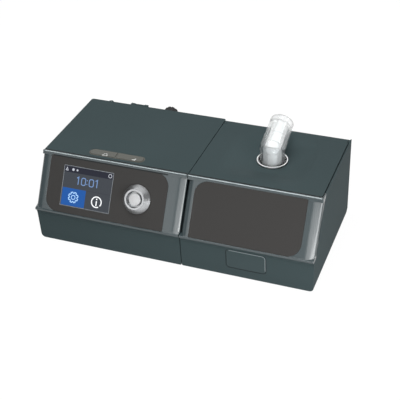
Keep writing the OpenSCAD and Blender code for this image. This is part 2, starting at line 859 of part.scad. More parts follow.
// Impeller: a disc, a hub and backward curved blades
module impeller() {
    blade_r = impeller_r * 0.7;
    color("gainsboro") translate([blower_x, blower_y, impeller_z]) difference() {
        union() {
            cylinder(h = 1.2, r = impeller_r);
            cylinder(h = 7, r = wheel_hub_r);
            linear_extrude(1.2 + blade_h) intersection() {
                difference() {
                    circle(impeller_r);
                    circle(9);
                }
                for (i = [0:blade_count - 1]) rotate(360 / blade_count * i)
                    translate([blade_r, 2]) difference() {
                        circle(blade_r - 2);
                        circle(blade_r - 3);
                        translate([-far, -far]) square([2 * far, far]);
                    }
            }
        }
        translate([0, 0, -1]) cylinder(h = 6, r = shaft_r);
    }
}

module blower_grommets() {
    color("black") translate([blower_x, blower_y, 0])
        for (p = ears_at) {
            rod_z(p[0], p[1], volute_z - grommet_t, volute_z, ear_r);
            rod_z(p[0], p[1], volute_z, volute_z + ear_h, grommet_r);
            rod_z(p[0], p[1], volute_z + ear_h, volute_z + ear_h + 1.5, grommet_r + 1);
        }
}

// Intake box behind the filter, with a slotted filter seat and a side hole to the blower
module intake_muffler() {
    w = muffler_wall;
    pitch = (door_h - 8) / bar_count;
    color("dimgray") difference() {
        block(muffler_x0, muffler_y0, muffler_z0, muffler_x1, rear_y - wall, muffler_z1);
        block(
            muffler_x0 + w, muffler_y0 + w, muffler_z0 + w,
            muffler_x1 - w, filter_front - w, muffler_z1 - w
        );
        block(door_x0 + 3, filter_front, door_z0 + 3, door_x1 - 3, far, door_z1 - 3);
        for (i = [0:bar_count - 1])
            block(
                door_x0 + 5, filter_front - w - 1, door_z0 + 5 + i * pitch,
                door_x1 - 5, filter_front + 1, door_z0 + 2.5 + (i + 1) * pitch
            );
        rod_x(muffler_x1 - w - 1, far, blower_y, duct_z, inlet_r);
    }
}

module muffler_foam() {
    w = muffler_wall;
    color("black") block(
        muffler_x0 + w, muffler_y0 + w, muffler_z0 + w,
        muffler_x0 + w + 8, filter_front - w, muffler_z1 - w
    );
}

module air_filter() {
    color("white") block(
        door_x0 + 3, filter_front, door_z0 + 3, door_x1 - 3, filter_front + filter_t, door_z1 - 3
    );
}

// Hinged door over the filter, with air slots and a finger tab
module filter_door() {
    y0 = rear_y - door_sink;
    y1 = rear_y + 1.4;
    pitch = (door_h - 12) / slot_count;
    color(case_color) difference() {
        union() {
            block(door_x0, y0, door_z0, door_x1, y1, door_z1);
            rod_z(hinge_x, hinge_y, door_z0 + lug_h + gap, door_z1 - lug_h + lug_rise - gap, knuckle_r);
            block(hinge_x, rear_y + gap, door_z0 + lug_h + gap, door_x0 + 1, hinge_y, door_z1 - lug_h + lug_rise - gap);
            block(door_x1 - tab_w - 2, y1, door_z1 - 6, door_x1 - 2, y1 + 3, door_z1 + 2.9);
        }
        for (i = [0:slot_count - 1])
            along_y(0, far) translate([(door_x0 + door_x1) / 2, door_z0 + 6 + pitch * (i + 0.3)])
                stadium(door_w - 10, pitch * 0.45);
        rod_z(hinge_x, hinge_y, 0, far, door_pin_r + run);
        rod_y(door_x1 - 2 - tab_w / 2, y1 + 2.2, far, door_z1 + 6, 6);
    }
}

module door_hinge_pin() {
    color("silver") rod_z(hinge_x, hinge_y, door_z0, door_z1 + lug_rise, door_pin_r);
}

// Soft elbow from the muffler's side hole down to the blower's inlet
module intake_duct() {
    color("dimgray") difference() {
        duct_path(muffler_x1, duct_r);
        duct_path(muffler_x1 - 1, inlet_r);
    }
}

module duct_path(x0, r) {
    rod_x(x0, blower_x - duct_bend, blower_y, duct_z, r);
    translate([blower_x - duct_bend, blower_y, inlet_top]) rotate([90, 0, 0])
        rotate_extrude(angle = 90) translate([duct_bend, 0]) circle(r);
}

module outlet_duct() {
    x0 = blower_x + volute_r - duct_lap;
    color("dimgray") difference() {
        union() {
            rod_x(x0, main_x1 - wall, port_y, port_z, throat_r + duct_wall);
            rod_x(main_x1 - wall - duct_seat_l, main_x1 - wall, port_y, port_z, spigot_r + duct_wall);
        }
        rod_x(x0 - 1, far, port_y, port_z, throat_r);
    }
}

module outlet_spigot() {
    color("dimgray") difference() {
        rod_x(main_x1 - wall, main_x1 + spigot_l, port_y, port_z, spigot_r);
        rod_x(0, far, port_y, port_z, spigot_r - spigot_wall);
    }
}

module power_jack() {
    color("black") difference() {
        union() {
            rod_y(jack_x, rear_y - wall, rear_y + 0.4, jack_z, jack_body_r);
            block(
                jack_x - jack_half, rear_y - wall - 10, jack_z - jack_half,
                jack_x + jack_half, rear_y - wall, jack_z + jack_half
            );
        }
        rod_y(jack_x, rear_y - jack_in, far, jack_z, jack_r);
    }
}

module jack_pin() {
    color("gold") rod_y(jack_x, rear_y - jack_in, rear_y - 1.5, jack_z, jack_pin_r);
}

// Round accessory port with a flange on the wall and a stub for its cap
module accessory_port() {
    color("dimgray") difference() {
        union() {
            rod_y(cap_x, rear_y, rear_y + port_reach - cap_grip, cap_z, cap_seat_r);
            rod_y(cap_x, rear_y - wall - stub_l, rear_y, cap_z, stub_r);
            rod_y(cap_x, rear_y, rear_y + port_flange_t, cap_z, port_r);
        }
        rod_y(cap_x, rear_y - stub_l, far, cap_z, port_bore_r);
    }
}

module port_cap() {
    y0 = rear_y + port_flange_t + gap;
    rib_y = y0 + 4;
    rib_r = 1;
    color("black") difference() {
        rod_y(cap_x, y0, rear_y + port_reach, cap_z, port_r);
        rod_y(cap_x, y0 - 1, rear_y + port_reach - cap_grip + gap, cap_z, cap_seat_r + run);
        for (a = [0:30:330])
            translate([cap_x, 0, cap_z]) rotate([0, a, 0]) rod_y(port_r + rib_r / 2, rib_y, far, 0, rib_r);
    }
}

module dock_plug() {
    color("black") dock_space(main_x1 - wall - 8, main_x1 + 4, 0);
}

module main_screws() {
    color("silver") for (p = main_screws_at)
        screw(p[0], p[1], base_z + 0.2, screw_head_r, screw_shank_r, screw_l);
}

module main_feet() {
    color("black") for (p = main_feet_at) foot(p[0], p[1]);
}

// Humidifier: values shared by its pieces
window_x0 = humid_x0 + window_margin;
window_radii = [insert_sharp, insert_round, insert_sharp, insert_round];
deck_z = base_z + deck_h;
deck_t = 2;
hinge_axis_y = rear_y - barrel_r - 0.2;
hinge_axis_z = top_z - barrel_r;
barrel_x0 = humid_x0 + wall + gap;
barrel_x1 = humid_x1 - wall - gap;
hinge_pin_l = 9;
outlet_x = humid_mid;
outlet_y = edge_y + outlet_back;
dish_z = top_z - dish_depth;
dish_floor_r = flange_r + 3;
dish_sides = 60;
dish_steps = 7;
tub_x0 = humid_mid - tub_w / 2;
tub_x1 = humid_mid + tub_w / 2;
tub_z = deck_z;
tub_top = deck_z + tub_h;
tub_back = rear_y - wall - 6;
tub_run = frame_run + latch_travel + 12;
tub_front = front_at(tub_top) + tub_run;
plate_in = 14;
plate_x0 = tub_x0 + plate_in;
plate_x1 = tub_x1 - plate_in;
plate_y0 = front_y + 38.5;
plate_y1 = tub_back - plate_in - 4;
inner_x0 = humid_x0 + wall;
inner_x1 = humid_x1 - wall;
humid_feet_at = [for (x = [humid_x0 + foot_in, humid_x1 - foot_in], y = [foot_front, foot_rear]) [x, y]];
humid_screws_at = [
    for (x = [humid_x0 + foot_in + 10, humid_x1 - foot_in - 10], y = [foot_front, foot_rear + 7]) [x, y]
];
latch_x0 = humid_mid - latch_w / 2;
latch_x1 = humid_mid + latch_w / 2;
latch_z0 = base_z + latch_up;
latch_z1 = latch_z0 + latch_h;
arm_w = 16;
arm_t = 2.4;
catch_y = edge_y + frame_run + gap;
catch_t = 1.8;
catch_z = ledge_z - 4.5;
nose_y = catch_y + catch_t + 0.7;
nose_z = catch_z - 0.8;
nose_h = 1.5;
collar_top = dish_z - lid_t - 2;
swivel_r = outlet_r + 1;
flange_z = dish_z + gap;
flange_t = 1.5;
corner_z = flange_z + flange_t + corner_h;
sleeve_l = outlet_r;

module latch_outline(d) {
    corner_rect(
        latch_x0 - d, latch_z0 - d, latch_x1 + d, latch_z1 + d,
        [for (i = [0:3]) latch_round + d]
    );
}

module humid_case() {
    color(case_color) difference() {
        union() {
            difference() {
                intersection() {
                    along_x(humid_x0, humid_x1) case_profile();
                    humid_box();
                }
                along_x(inner_x0, inner_x1) cavity_profile(deck_z);
                intersection() {
                    along_x(inner_x0, inner_x1) cavity_profile(base_z - 1);
                    block(-far, -far, -1, far, far, deck_z - deck_t);
                }
                humid_lid_recess();
            }
            for (p = humid_screws_at) rod_z(p[0], p[1], floor_z, deck_z, 3.2);
            intersection() {
                union() {
                    rod_x(humid_x0, inner_x0, hinge_axis_y, hinge_axis_z, barrel_r);
                    rod_x(inner_x1, humid_x1, hinge_axis_y, hinge_axis_z, barrel_r);
                }
                humid_box();
            }
        }
        for (p = humid_screws_at) rod_z(p[0], p[1], 0, floor_z + 9, screw_shank_r);
        along_y(front_y - 1, front_y + toe_setback + 2 * wall) latch_outline(gap);
        rod_x(0, inner_x0 + 1, port_y, port_z, spigot_r + 2);
        dock_space(0, inner_x0 + 1, gap);
        block(plate_x0, plate_y0, deck_z - deck_t - 1, plate_x1, plate_y1, deck_z + 1);
        rod_x(inner_x0 - 1.6, inner_x1 + 1.6, hinge_axis_y, hinge_axis_z, hinge_pin_r);
    }
}

// Room for the lid over the side walls, and for its rolled edge in the rear wall
module humid_lid_recess() {
    lid_space(
        humid_x0 - 1, humid_x1 - rim + lid_gap, lid_gap, ledge_z - gap, top_z + 1, far, lid_round + lid_gap
    );
    rod_x(inner_x0, inner_x1, hinge_axis_y, hinge_axis_z, barrel_r + lid_gap);
    block(inner_x0, hinge_axis_y, hinge_axis_z, inner_x1, far, top_z + 1);
}

module humid_base_plate() {
    color("dimgray") difference() {
        intersection() {
            block(inner_x0 + fit, -far, base_z, inner_x1 - fit, far, floor_z);
            along_x(inner_x0 + fit, inner_x1 - fit) polygon([
                [toe_at(base_z) + wall + fit, base_z], [toe_at(floor_z) + wall + fit, floor_z],
                [heel_at(floor_z) - gap, floor_z], [heel_at(base_z) - gap, base_z]
            ]);
        }
        for (p = humid_screws_at) {
            rod_z(p[0], p[1], base_z - 1, base_z + 2, screw_head_r + fit);
            rod_z(p[0], p[1], base_z, far, screw_shank_r + fit);
        }
        for (p = humid_feet_at) rod_z(p[0], p[1], base_z - 1, base_z + 1, foot_r);
        for (i = [0:7])
            along_z(0, far) translate([humid_mid - 24.5 + 7 * i, 0]) rotate(90) stadium(30, 2.4);
    }
}

module humid_bezel() {
    color(trim_color) difference() {
        front_frame(humid_x0, humid_x1, window_x0, window_w, window_radii, ledge_z - gap);
        lid_space(
            humid_x0 - 1, humid_x1 - rim + lid_gap, lid_gap, ledge_z - gap, top_z + 1, far, lid_round + lid_gap
        );
    }
}

module humid_window() {
    color(insert_color) on_slope() translate([0, 0, -insert_t - 0.1]) linear_extrude(insert_t)
        insert_outline(window_x0, window_w, 0, window_radii);
}

module heater_plate() {
    color("silver") {
        block(plate_x0 + 1.5, plate_y0 + 1.5, deck_z - deck_t, plate_x1 - 1.5, plate_y1 - 1.5, deck_z);
        block(
            plate_x0 - 1, plate_y0 - 1, deck_z - deck_t - 1.6,
            plate_x1 + 1, plate_y1 + 1, deck_z - deck_t
        );
    }
}

module heater_seal() {
    color("black") difference() {
        block(plate_x0, plate_y0, deck_z - deck_t, plate_x1, plate_y1, deck_z);
        block(plate_x0 + 1.5, plate_y0 + 1.5, 0, plate_x1 - 1.5, plate_y1 - 1.5, far);
    }
}

module humid_board() {
    z = floor_z + 2;
    color("darkgreen") {
        block(inner_x0 + 10, dock_y - 13, z, humid_mid, dock_y + 7, z + board_t);
        for (x = [inner_x0 + 14, humid_mid - 4], y = [dock_y - 9, dock_y + 3])
            rod_z(x, y, floor_z, z, 2);
        block(humid_mid - 20, dock_y - 8, z, humid_mid - 8, dock_y + 2, z + 3.4);
    }
}

module dock_socket() {
    color("black") difference() {
        block(
            inner_x0, dock_y - dock_w / 2 - 2, floor_z,
            inner_x0 + 10, dock_y + dock_w / 2 + 2, deck_z - deck_t - 0.5
        );
        dock_space(0, inner_x0 + 4, gap);
    }
}

// Soft ring that the spigot docks into, reaching across to the chamber's side port
module inlet_seal() {
    color("dimgray") difference() {
        union() {
            rod_x(humid_x0 + 0.2, inner_x0, port_y, port_z, spigot_r + 2);
            rod_x(inner_x0, inner_x0 + 2, port_y, port_z, spigot_r + 4);
            rod_x(inner_x0 + 2, tub_x0, port_y, port_z, spigot_r + 2);
        }
        rod_x(0, far, port_y, port_z, spigot_r + gap);
    }
}

// Side profile of the water chamber, inset by d
module tub_profile(d, top) {
    polygon([
        [front_y + tub_run + d, tub_z + d], [front_y + tub_run + d, knee_z],
        [front_at(top) + tub_run + d, top],
        [tub_back - d, top], [tub_back - d, tub_z + d]
    ]);
}

module water_tub() {
    color("lightblue", 0.4) difference() {
        intersection() {
            along_x(tub_x0, tub_x1) tub_profile(0, tub_top);
            along_z(0, far) corner_rect(tub_x0, -far, tub_x1, tub_back, [0, 0, 8, 8]);
        }
        intersection() {
            along_x(tub_x0 + tub_wall, tub_x1 - tub_wall) tub_profile(tub_wall, tub_top + 1);
            along_z(0, far) corner_rect(
                tub_x0 + tub_wall, -far, tub_x1 - tub_wall, tub_back - tub_wall, [0, 0, 6, 6]
            );
        }
        rod_x(tub_x0 - 1, tub_x0 + tub_wall + 1, port_y, port_z, spigot_r - 1.8);
        block(plate_x0, plate_y0, 0, plate_x1, plate_y1, tub_z + tub_wall + 1);
    }
}

module tub_base_plate() {
    color("silver") {
        block(plate_x0, plate_y0, tub_z, plate_x1, plate_y1, tub_z + tub_wall);
        block(
            plate_x0 - 1, plate_y0 - 1, tub_z + tub_wall,
            plate_x1 + 1, plate_y1 + 1, tub_z + tub_wall + 0.6
        );
    }
}

module tub_ring(d, z0, z1) {
    along_z(z0, z1) corner_rect(tub_x0 + d, tub_front + d, tub_x1 - d, tub_back - d, [3, 3, 8 - d, 8 - d]);
}

module tub_seal() {
    color("gray") difference() {
        tub_ring(0, tub_top, tub_top + 1.5);
        tub_ring(tub_wall, 0, far);
    }
}

// Chamber lid with its raised outlet collar
module tub_lid() {
    z0 = tub_top + 1.5;
    color("lightblue", 0.4) difference() {
        union() {
            tub_ring(0, z0, z0 + 2.4);
            rod_z(outlet_x, outlet_y, z0, collar_top - gap, swivel_r + 5);
        }
        rod_z(outlet_x, outlet_y, 0, far, swivel_r + 1.4);
    }
}

// Latch: the push plate in the lower front, an arm up behind the frame and a nose at its top
module lid_latch() {
    arm_y = front_y + frame_run + 1.5;
    color(case_color) {
        intersection() {
            along_y(-far, far) latch_outline(0);
            along_x(latch_x0, latch_x1) polygon([
                [toe_at(latch_z0), latch_z0], [toe_at(latch_z1), latch_z1],
                [toe_at(latch_z1) + wall, latch_z1], [toe_at(latch_z0) + wall, latch_z0]
            ]);
        }
        along_x(humid_mid - arm_w / 2, humid_mid + arm_w / 2) polygon([
            [toe_at(latch_z1) + 1, latch_z1 - 9], [toe_at(latch_z1) + 1, latch_z1 - 5],
            [arm_y, latch_z1 - 2], [arm_y, knee_z], [nose_y + 1, nose_z],
            [nose_y, nose_z], [nose_y, nose_z + nose_h], [nose_y + 1 + arm_t, nose_z + nose_h],
            [nose_y + 1 + arm_t, nose_z], [arm_y + arm_t, knee_z], [arm_y + arm_t, latch_z1 - 5]
        ]);
    }
}

module lid_hinge_pins() {
    color("silver") {
        rod_x(inner_x0 - 1.6, barrel_x0 + hinge_pin_l, hinge_axis_y, hinge_axis_z, hinge_pin_r);
        rod_x(barrel_x1 - hinge_pin_l, inner_x1 + 1.6, hinge_axis_y, hinge_axis_z, hinge_pin_r);
    }
}

module humid_screws() {
    color("silver") for (p = humid_screws_at)
        screw(p[0], p[1], base_z, screw_head_r, screw_shank_r, 9);
}

module humid_feet() {
    color("black") for (p = humid_feet_at) foot(p[0], p[1]);
}

// Ring of the dish: a soft square at the top that turns into a circle at the floor
function dish_point(a, t) =
    let (
        blend = (1 - cos(180 * t)) / 2,
        power = 5 - 3 * t,
        radius = dish_half + (dish_floor_r - dish_half) * t,
        reach = radius / pow(pow(abs(cos(a)), power) + pow(abs(sin(a)), power), 1 / power)
    )
    [outlet_x + reach * cos(a), outlet_y - dish_shift * (1 - t) + reach * sin(a), top_z - dish_depth * blend];

// Dished hollow: a loft of rings from the soft square down to the flat round floor
module dish(extra) {
    n = dish_sides;
    count = dish_steps + 2;
    lift = [for (j = [0:n - 1]) dish_point(360 * j / n, 0) + [0, 0, extra]];
    rings = [for (i = [0:dish_steps], j = [0:n - 1]) dish_point(360 * j / n, i / dish_steps)];
    middles = [[outlet_x, outlet_y, top_z + extra], [outlet_x, outlet_y, dish_z]];
    polyhedron(
        points = concat(lift, rings, middles),
        faces = concat(
            [for (j = [0:n - 1]) [count * n, (j + 1) % n, j]],
            [for (i = [1:count - 1], j = [0:n - 1]) [(i - 1) * n + j, (i - 1) * n + (j + 1) % n, i * n + j]],
            [for (i = [1:count - 1], j = [0:n - 1])
                [(i - 1) * n + (j + 1) % n, i * n + (j + 1) % n, i * n + j]],
            [for (j = [0:n - 1])
                [count * n + 1, (count - 1) * n + j, (count - 1) * n + (j + 1) % n]]
        )
    );
}

module humid_lid() {
    color(case_color) difference() {
        union() {
            intersection() {
                lid_space(
                    humid_x0, humid_x1 - rim, 0, ledge_z, top_z, hinge_axis_y - barrel_r - gap, lid_round
                );
                humid_box();
            }
            rod_x(barrel_x0, barrel_x1, hinge_axis_y, hinge_axis_z, barrel_r);
            block(barrel_x0, hinge_axis_y - barrel_r - 1, ledge_z, barrel_x1, hinge_axis_y, top_z);
            translate([0, 0, -lid_t]) dish(0.5);
            rod_z(outlet_x, outlet_y, collar_top + 0.4, dish_z, swivel_r + 2.4);
        }
        dish(1);
        catch_space();
        rod_z(outlet_x, outlet_y, 0, far, swivel_r + run);
        for (x = [barrel_x0 - 1, barrel_x1 - hinge_pin_l - gap])
            rod_x(x, x + hinge_pin_l + gap + 1, hinge_axis_y, hinge_axis_z, hinge_pin_r + run);
    }
}

// Steel catch under the lid's front edge, in front of the latch's nose
module lid_catch() {
    color("silver") catch_space();
}

module catch_space() {
    block(
        humid_mid - arm_w / 2 + 1, catch_y, catch_z,
        humid_mid + arm_w / 2 - 1, catch_y + catch_t, ledge_z
    );
}

module lid_seal() {
    color("gray") difference() {
        rod_z(outlet_x, outlet_y, collar_top, dish_z - lid_t, swivel_r + 5);
        rod_z(outlet_x, outlet_y, 0, far, swivel_r + 2.4);
    }
}

// Clear swivel elbow: a clipped spigot, a flange, a ball corner and a 22 mm connector end
module outlet_elbow() {
    color("white", 0.4) difference() {
        union() {
            rod_z(outlet_x, outlet_y, flange_z, flange_z + flange_t, flange_r);
            rod_z(outlet_x, outlet_y, collar_top - 0.3, flange_z, swivel_r);
            rod_z(outlet_x, outlet_y, collar_top - 0.9, collar_top - 0.3, swivel_r + 0.6);
            elbow_corner(outlet_r + 0.4, flange_z + flange_t, sleeve_l);
            elbow_leg(outlet_r, 0, sleeve_l + connector_l);
        }
        elbow_corner(outlet_r - elbow_wall, 0, far);
    }
}

// Upright tube from z0 to a ball corner, and the rising leg to a distance l beyond it
module elbow_corner(r, z0, l) {
    rod_z(outlet_x, outlet_y, z0, corner_z, r);
    translate([outlet_x, outlet_y, corner_z]) sphere(r + 0.2);
    elbow_leg(r, 0, l);
}

module elbow_leg(r, l0, l1) {
    translate([outlet_x, outlet_y, corner_z]) rotate([outlet_rise - 90, 0, 0]) rod_z(0, 0, l0, l1, r);
}

main_case();
main_top_cover();
main_bezel();
control_panel();
screen_lens();
display_module();
control_board();
knob_encoder();
knob_ring();
knob_button();
button_frame();
mute_button();
ramp_button();
button_board();
main_board();
card_reader();
card_flap();
blower_housing();
blower_cover();
blower_motor();
motor_bearings();
motor_shaft();
impeller();
blower_grommets();
intake_muffler();
muffler_foam();
air_filter();
filter_door();
door_hinge_pin();
intake_duct();
outlet_duct();
outlet_spigot();
power_jack();
jack_pin();
accessory_port();
port_cap();
dock_plug();
main_screws();
main_feet();
humid_case();
humid_base_plate();
humid_bezel();
humid_window();
heater_plate();
heater_seal();
humid_board();
dock_socket();
inlet_seal();
water_tub();
tub_base_plate();
tub_seal();
tub_lid();
lid_latch();
lid_hinge_pins();
humid_screws();
humid_feet();
humid_lid();
lid_catch();
lid_seal();
outlet_elbow();
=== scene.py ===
"""Looks of a bilevel breathing therapy machine with a docked humidifier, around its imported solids.

Lengths are in metres. Outlines of thin marks are drawn in millimetres, which their placing
functions turn into places.
"""

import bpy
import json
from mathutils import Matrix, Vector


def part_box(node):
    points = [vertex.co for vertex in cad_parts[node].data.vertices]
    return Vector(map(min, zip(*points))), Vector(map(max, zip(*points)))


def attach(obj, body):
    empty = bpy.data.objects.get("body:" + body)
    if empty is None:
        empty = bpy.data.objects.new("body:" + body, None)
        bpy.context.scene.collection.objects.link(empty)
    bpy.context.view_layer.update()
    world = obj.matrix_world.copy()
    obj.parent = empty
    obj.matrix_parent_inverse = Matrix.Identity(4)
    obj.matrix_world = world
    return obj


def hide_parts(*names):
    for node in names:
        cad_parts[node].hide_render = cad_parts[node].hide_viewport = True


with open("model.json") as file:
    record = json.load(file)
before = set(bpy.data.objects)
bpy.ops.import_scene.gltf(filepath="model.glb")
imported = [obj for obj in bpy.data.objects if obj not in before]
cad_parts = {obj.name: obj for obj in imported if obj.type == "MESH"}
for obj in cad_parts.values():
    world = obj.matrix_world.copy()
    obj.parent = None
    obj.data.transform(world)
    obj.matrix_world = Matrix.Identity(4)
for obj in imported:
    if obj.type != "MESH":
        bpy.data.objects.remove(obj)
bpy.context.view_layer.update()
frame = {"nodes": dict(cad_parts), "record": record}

import json
import math

import bmesh
import bpy
from mathutils import Matrix, Vector

MM = 0.001


# Places read from the frame

def low(node):
    """Least corner of a solid's box."""
    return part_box(node)[0]


def high(node):
    """Greatest corner of a solid's box."""
    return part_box(node)[1]


PART_LEFT, MAIN_RIGHT = low("main_bezel").x, high("main_bezel").x
HUMID_LEFT, PART_RIGHT = low("humid_bezel").x, high("humid_bezel").x
FRONT_Y = low("main_bezel").y
KNEE_Z = low("main_bezel").z
TOP_Z = high("main_top_cover").z

# The sloping face rises from the knee at the front to the top, which starts further back
TOP_SETBACK = 28.5 * MM
LEAN = math.atan2(TOP_SETBACK, TOP_Z - KNEE_Z)
SLOPE_OUT = Vector((0, -math.cos(LEAN), math.sin(LEAN)))
SLOPE_UP = Vector((0, math.sin(LEAN), math.cos(LEAN)))


def on_slope(x, up, out=0.0):
    """Point at x across the sloping face and up along it, lifted out of it."""
    return Vector((x, FRONT_Y, KNEE_Z)) + SLOPE_UP * up + SLOPE_OUT * out


KNOB_AT = on_slope(PART_LEFT + 98.6 * MM, 26.9 * MM)  # where the knob's axis meets the face


def new_object(name, data):
    """Object with this data, linked into the scene."""
    made = bpy.data.objects.new(name, data)
    bpy.context.scene.collection.objects.link(made)
    return made


# Camera at the photograph's viewpoint

CAMERA_AT = Vector((286.32, -701.80, 545.50)) * MM
CAMERA_AZIMUTH = math.radians(21.99)
CAMERA_ELEVATION = math.radians(34.47)
CAMERA_ROLL = math.radians(-2.49)
CLIP_START, CLIP_END = 0.05, 50
FOCAL_PIXELS = 970.7
FRAME_PIXELS = 400
SENSOR_WIDTH = 36.0  # millimetres, as Blender's lenses are


def make_camera():
    data = bpy.data.cameras.new("camera")
    data.sensor_width = SENSOR_WIDTH
    data.lens = FOCAL_PIXELS / FRAME_PIXELS * SENSOR_WIDTH
    data.clip_start, data.clip_end = CLIP_START, CLIP_END
    camera = new_object("camera", data)
    az, el = CAMERA_AZIMUTH, CAMERA_ELEVATION
    back = Vector((math.sin(az) * math.cos(el), -math.cos(az) * math.cos(el), math.sin(el)))
    right = Vector((math.cos(az), math.sin(az), 0))
    up = back.cross(right)
    c, s = math.cos(CAMERA_ROLL), math.sin(CAMERA_ROLL)
    rolled_right = right * c + up * s
    rolled_up = up * c - right * s
    camera.matrix_world = Matrix((
        (rolled_right.x, rolled_up.x, back.x, CAMERA_AT.x),
        (rolled_right.y, rolled_up.y, back.y, CAMERA_AT.y),
        (rolled_right.z, rolled_up.z, back.z, CAMERA_AT.z),
        (0, 0, 0, 1),
    ))
    bpy.context.scene.camera = camera


make_camera()


# Materials

EDGE_RADIUS = 0.4 * MM
# Reach of the painted shade that darkens seams and corners
CREVICE_REACH = 2 * MM
MIX_AMOUNT, MIX_FROM, MIX_TO, MIX_RESULT = 0, 6, 7, 2  # sockets of a colour Mix node


def rgb(code):
    """Linear colour from a display colour written as a hexadecimal code."""
    parts = [int(code[i:i + 2], 16) / 255 for i in (0, 2, 4)]
    return [c / 12.92 if c <= 0.04045 else ((c + 0.055) / 1.055) ** 2.4 for c in parts] + [1.0]


def shade(colour, factor):
    """A colour made darker or lighter by a factor."""
    return [min(1.0, c * factor) for c in colour[:3]] + [1.0]


def feed(tree, socket, value):
    """Link an output into a socket, or set the socket to a constant."""
    if isinstance(value, bpy.types.NodeSocket):
        tree.links.new(value, socket)
    else:
        socket.default_value = value


def add_node(tree, kind, inputs=(), **settings):
    """Node with its settings made and its inputs, by name or number, fed."""
    node = tree.nodes.new(kind)
    for key, value in settings.items():
        setattr(node, key, value)
    for key, value in dict(inputs).items():
        feed(tree, node.inputs[key], value)
    return node


class Paint:
    """A material whose nodes are added by short calls."""

    def __init__(self, name):
        self.material = bpy.data.materials.new(name)
        self.material.use_nodes = True
        self.tree = self.material.node_tree
        self.shader = self.tree.nodes["Principled BSDF"]
        self.place = self.add("ShaderNodeTexCoord").outputs["Object"]

    def add(self, kind, inputs=(), **settings):
        return add_node(self.tree, kind, inputs, **settings)

    def noise(self, scale, detail=3.0, rough=0.5, stretch=(1, 1, 1)):
        mapping = self.add("ShaderNodeMapping", {"Vector": self.place, "Scale": stretch})
        return self.add("ShaderNodeTexNoise", {
            "Vector": mapping.outputs["Vector"],
            "Scale": scale,
            "Detail": detail,
            "Roughness": rough,
        }).outputs["Fac"]

    def tones(self, value, colour, first, last, start=0.3, end=0.7):
        """A colour shaded by one factor up to the start of a value, and by another from its end."""
        node = self.add("ShaderNodeValToRGB", {"Fac": value})
        for element, at, factor in zip(node.color_ramp.elements, (start, end), (first, last)):
            element.position = at
            element.color = shade(colour, factor)
        return node.outputs["Color"]

    def level(self, value, first, last, start=0.3, end=0.7):
        """A value brought from the range start to end into the range first to last."""
        return self.add("ShaderNodeMapRange", {
            "Value": value,
            "From Min": start,
            "From Max": end,
            "To Min": first,
            "To Max": last,
        }).outputs["Result"]

    def bump(self, height, depth, strength, over=None):
        """Normal with a relief, laid over another normal where one is given."""
        inputs = {"Height": height, "Distance": depth, "Strength": strength}
        if over is not None:
            inputs["Normal"] = over
        return self.add("ShaderNodeBump", inputs).outputs["Normal"]

    def mix(self, amount, a, b):
        node = self.add(
            "ShaderNodeMix", {MIX_AMOUNT: amount, MIX_FROM: a, MIX_TO: b}, data_type="RGBA"
        )
        return node.outputs[MIX_RESULT]

    def edges(self, radius):
        """Rounded normal of the edges, and how much each point lies on an edge."""
        rounded = self.add("ShaderNodeBevel", {"Radius": radius}, samples=4).outputs["Normal"]
        flat = self.add("ShaderNodeNewGeometry").outputs["Normal"]
        same = self.add("ShaderNodeVectorMath", {0: rounded, 1: flat}, operation="DOT_PRODUCT")
        return rounded, self.level(same.outputs["Value"], 1, 0, start=0.7, end=0.99)

    def crevice_shade(self, colour, shade_tone):
        """A colour with painted shade: darkened towards the shade tone in seams and corners, where
        little open air is found.
        """
        open_air = self.add("ShaderNodeAmbientOcclusion", {"Distance": CREVICE_REACH}, samples=8)
        shade_amount = self.level(open_air.outputs["AO"], 1, 0, start=0.3, end=0.85)
        return self.mix(shade_amount, colour, shade_tone)

    def set(self, **values):
        """Feed the shader's inputs, in whose names _ stands for a space, and give the material."""
        for key, value in values.items():
            feed(self.tree, self.shader.inputs[key.replace("_", " ")], value)
        return self.material


def moulded(name, code, rough, grain=1.0, gloss=0.3, edge=1.25):
    """Moulded plastic: a fine spark-eroded grain, slow tone changes, edges lightened as a painted
    highlight and painted shade in seams and corners.
    """
    paint, colour = Paint(name), rgb(code)
    slow = paint.noise(scale=9, detail=2)
    fine = paint.noise(scale=2600, detail=2, rough=0.6)
    body = paint.tones(slow, colour, 0.97, 1.03, start=0.35, end=0.65)
    # The edge mask lightens the edges by the edge factor: a painted highlight.
    rounded, edge_highlight = paint.edges(EDGE_RADIUS)
    # The base colour darkens to a quarter of its tone in seams and corners: a painted shade.
    return paint.set(
        Base_Color=paint.crevice_shade(paint.mix(edge_highlight, body, shade(colour, edge)), shade(colour, 0.25)),
        Roughness=paint.level(fine, rough - 0.04, rough + 0.05),
        Normal=paint.bump(fine, depth=0.06 * MM * grain, strength=0.2 * grain, over=rounded),
        Specular_IOR_Level=gloss,
    )


def glossy(name, code, rough, gloss=0.5):
    """Smooth polished plastic with faint waviness and a few fine dust specks."""
    paint, colour = Paint(name), rgb(code)
    slow = paint.noise(scale=5, detail=1)
    specks = paint.noise(scale=900, detail=4, rough=0.7)
    return paint.set(
        Base_Color=paint.tones(slow, colour, 0.98, 1.02),
        Roughness=paint.level(specks, rough, rough + 0.07, start=0.45, end=0.75),
        Normal=paint.bump(slow, depth=0.2 * MM, strength=0.03),
        Specular_IOR_Level=gloss,
    )


def metal(name, code, rough, stretch=(1, 1, 1)):
    """Metal with a grain, brushed along a direction whose scale is less than 1."""
    paint, colour = Paint(name), rgb(code)
    grain = paint.noise(scale=700, detail=5, rough=0.65, stretch=stretch)
    return paint.set(
        Base_Color=paint.tones(grain, colour, 0.86, 1.08),
        Roughness=paint.level(grain, rough - 0.08, rough + 0.1),
        Normal=paint.bump(grain, depth=0.04 * MM, strength=0.2),
        Metallic=1.0,
    )


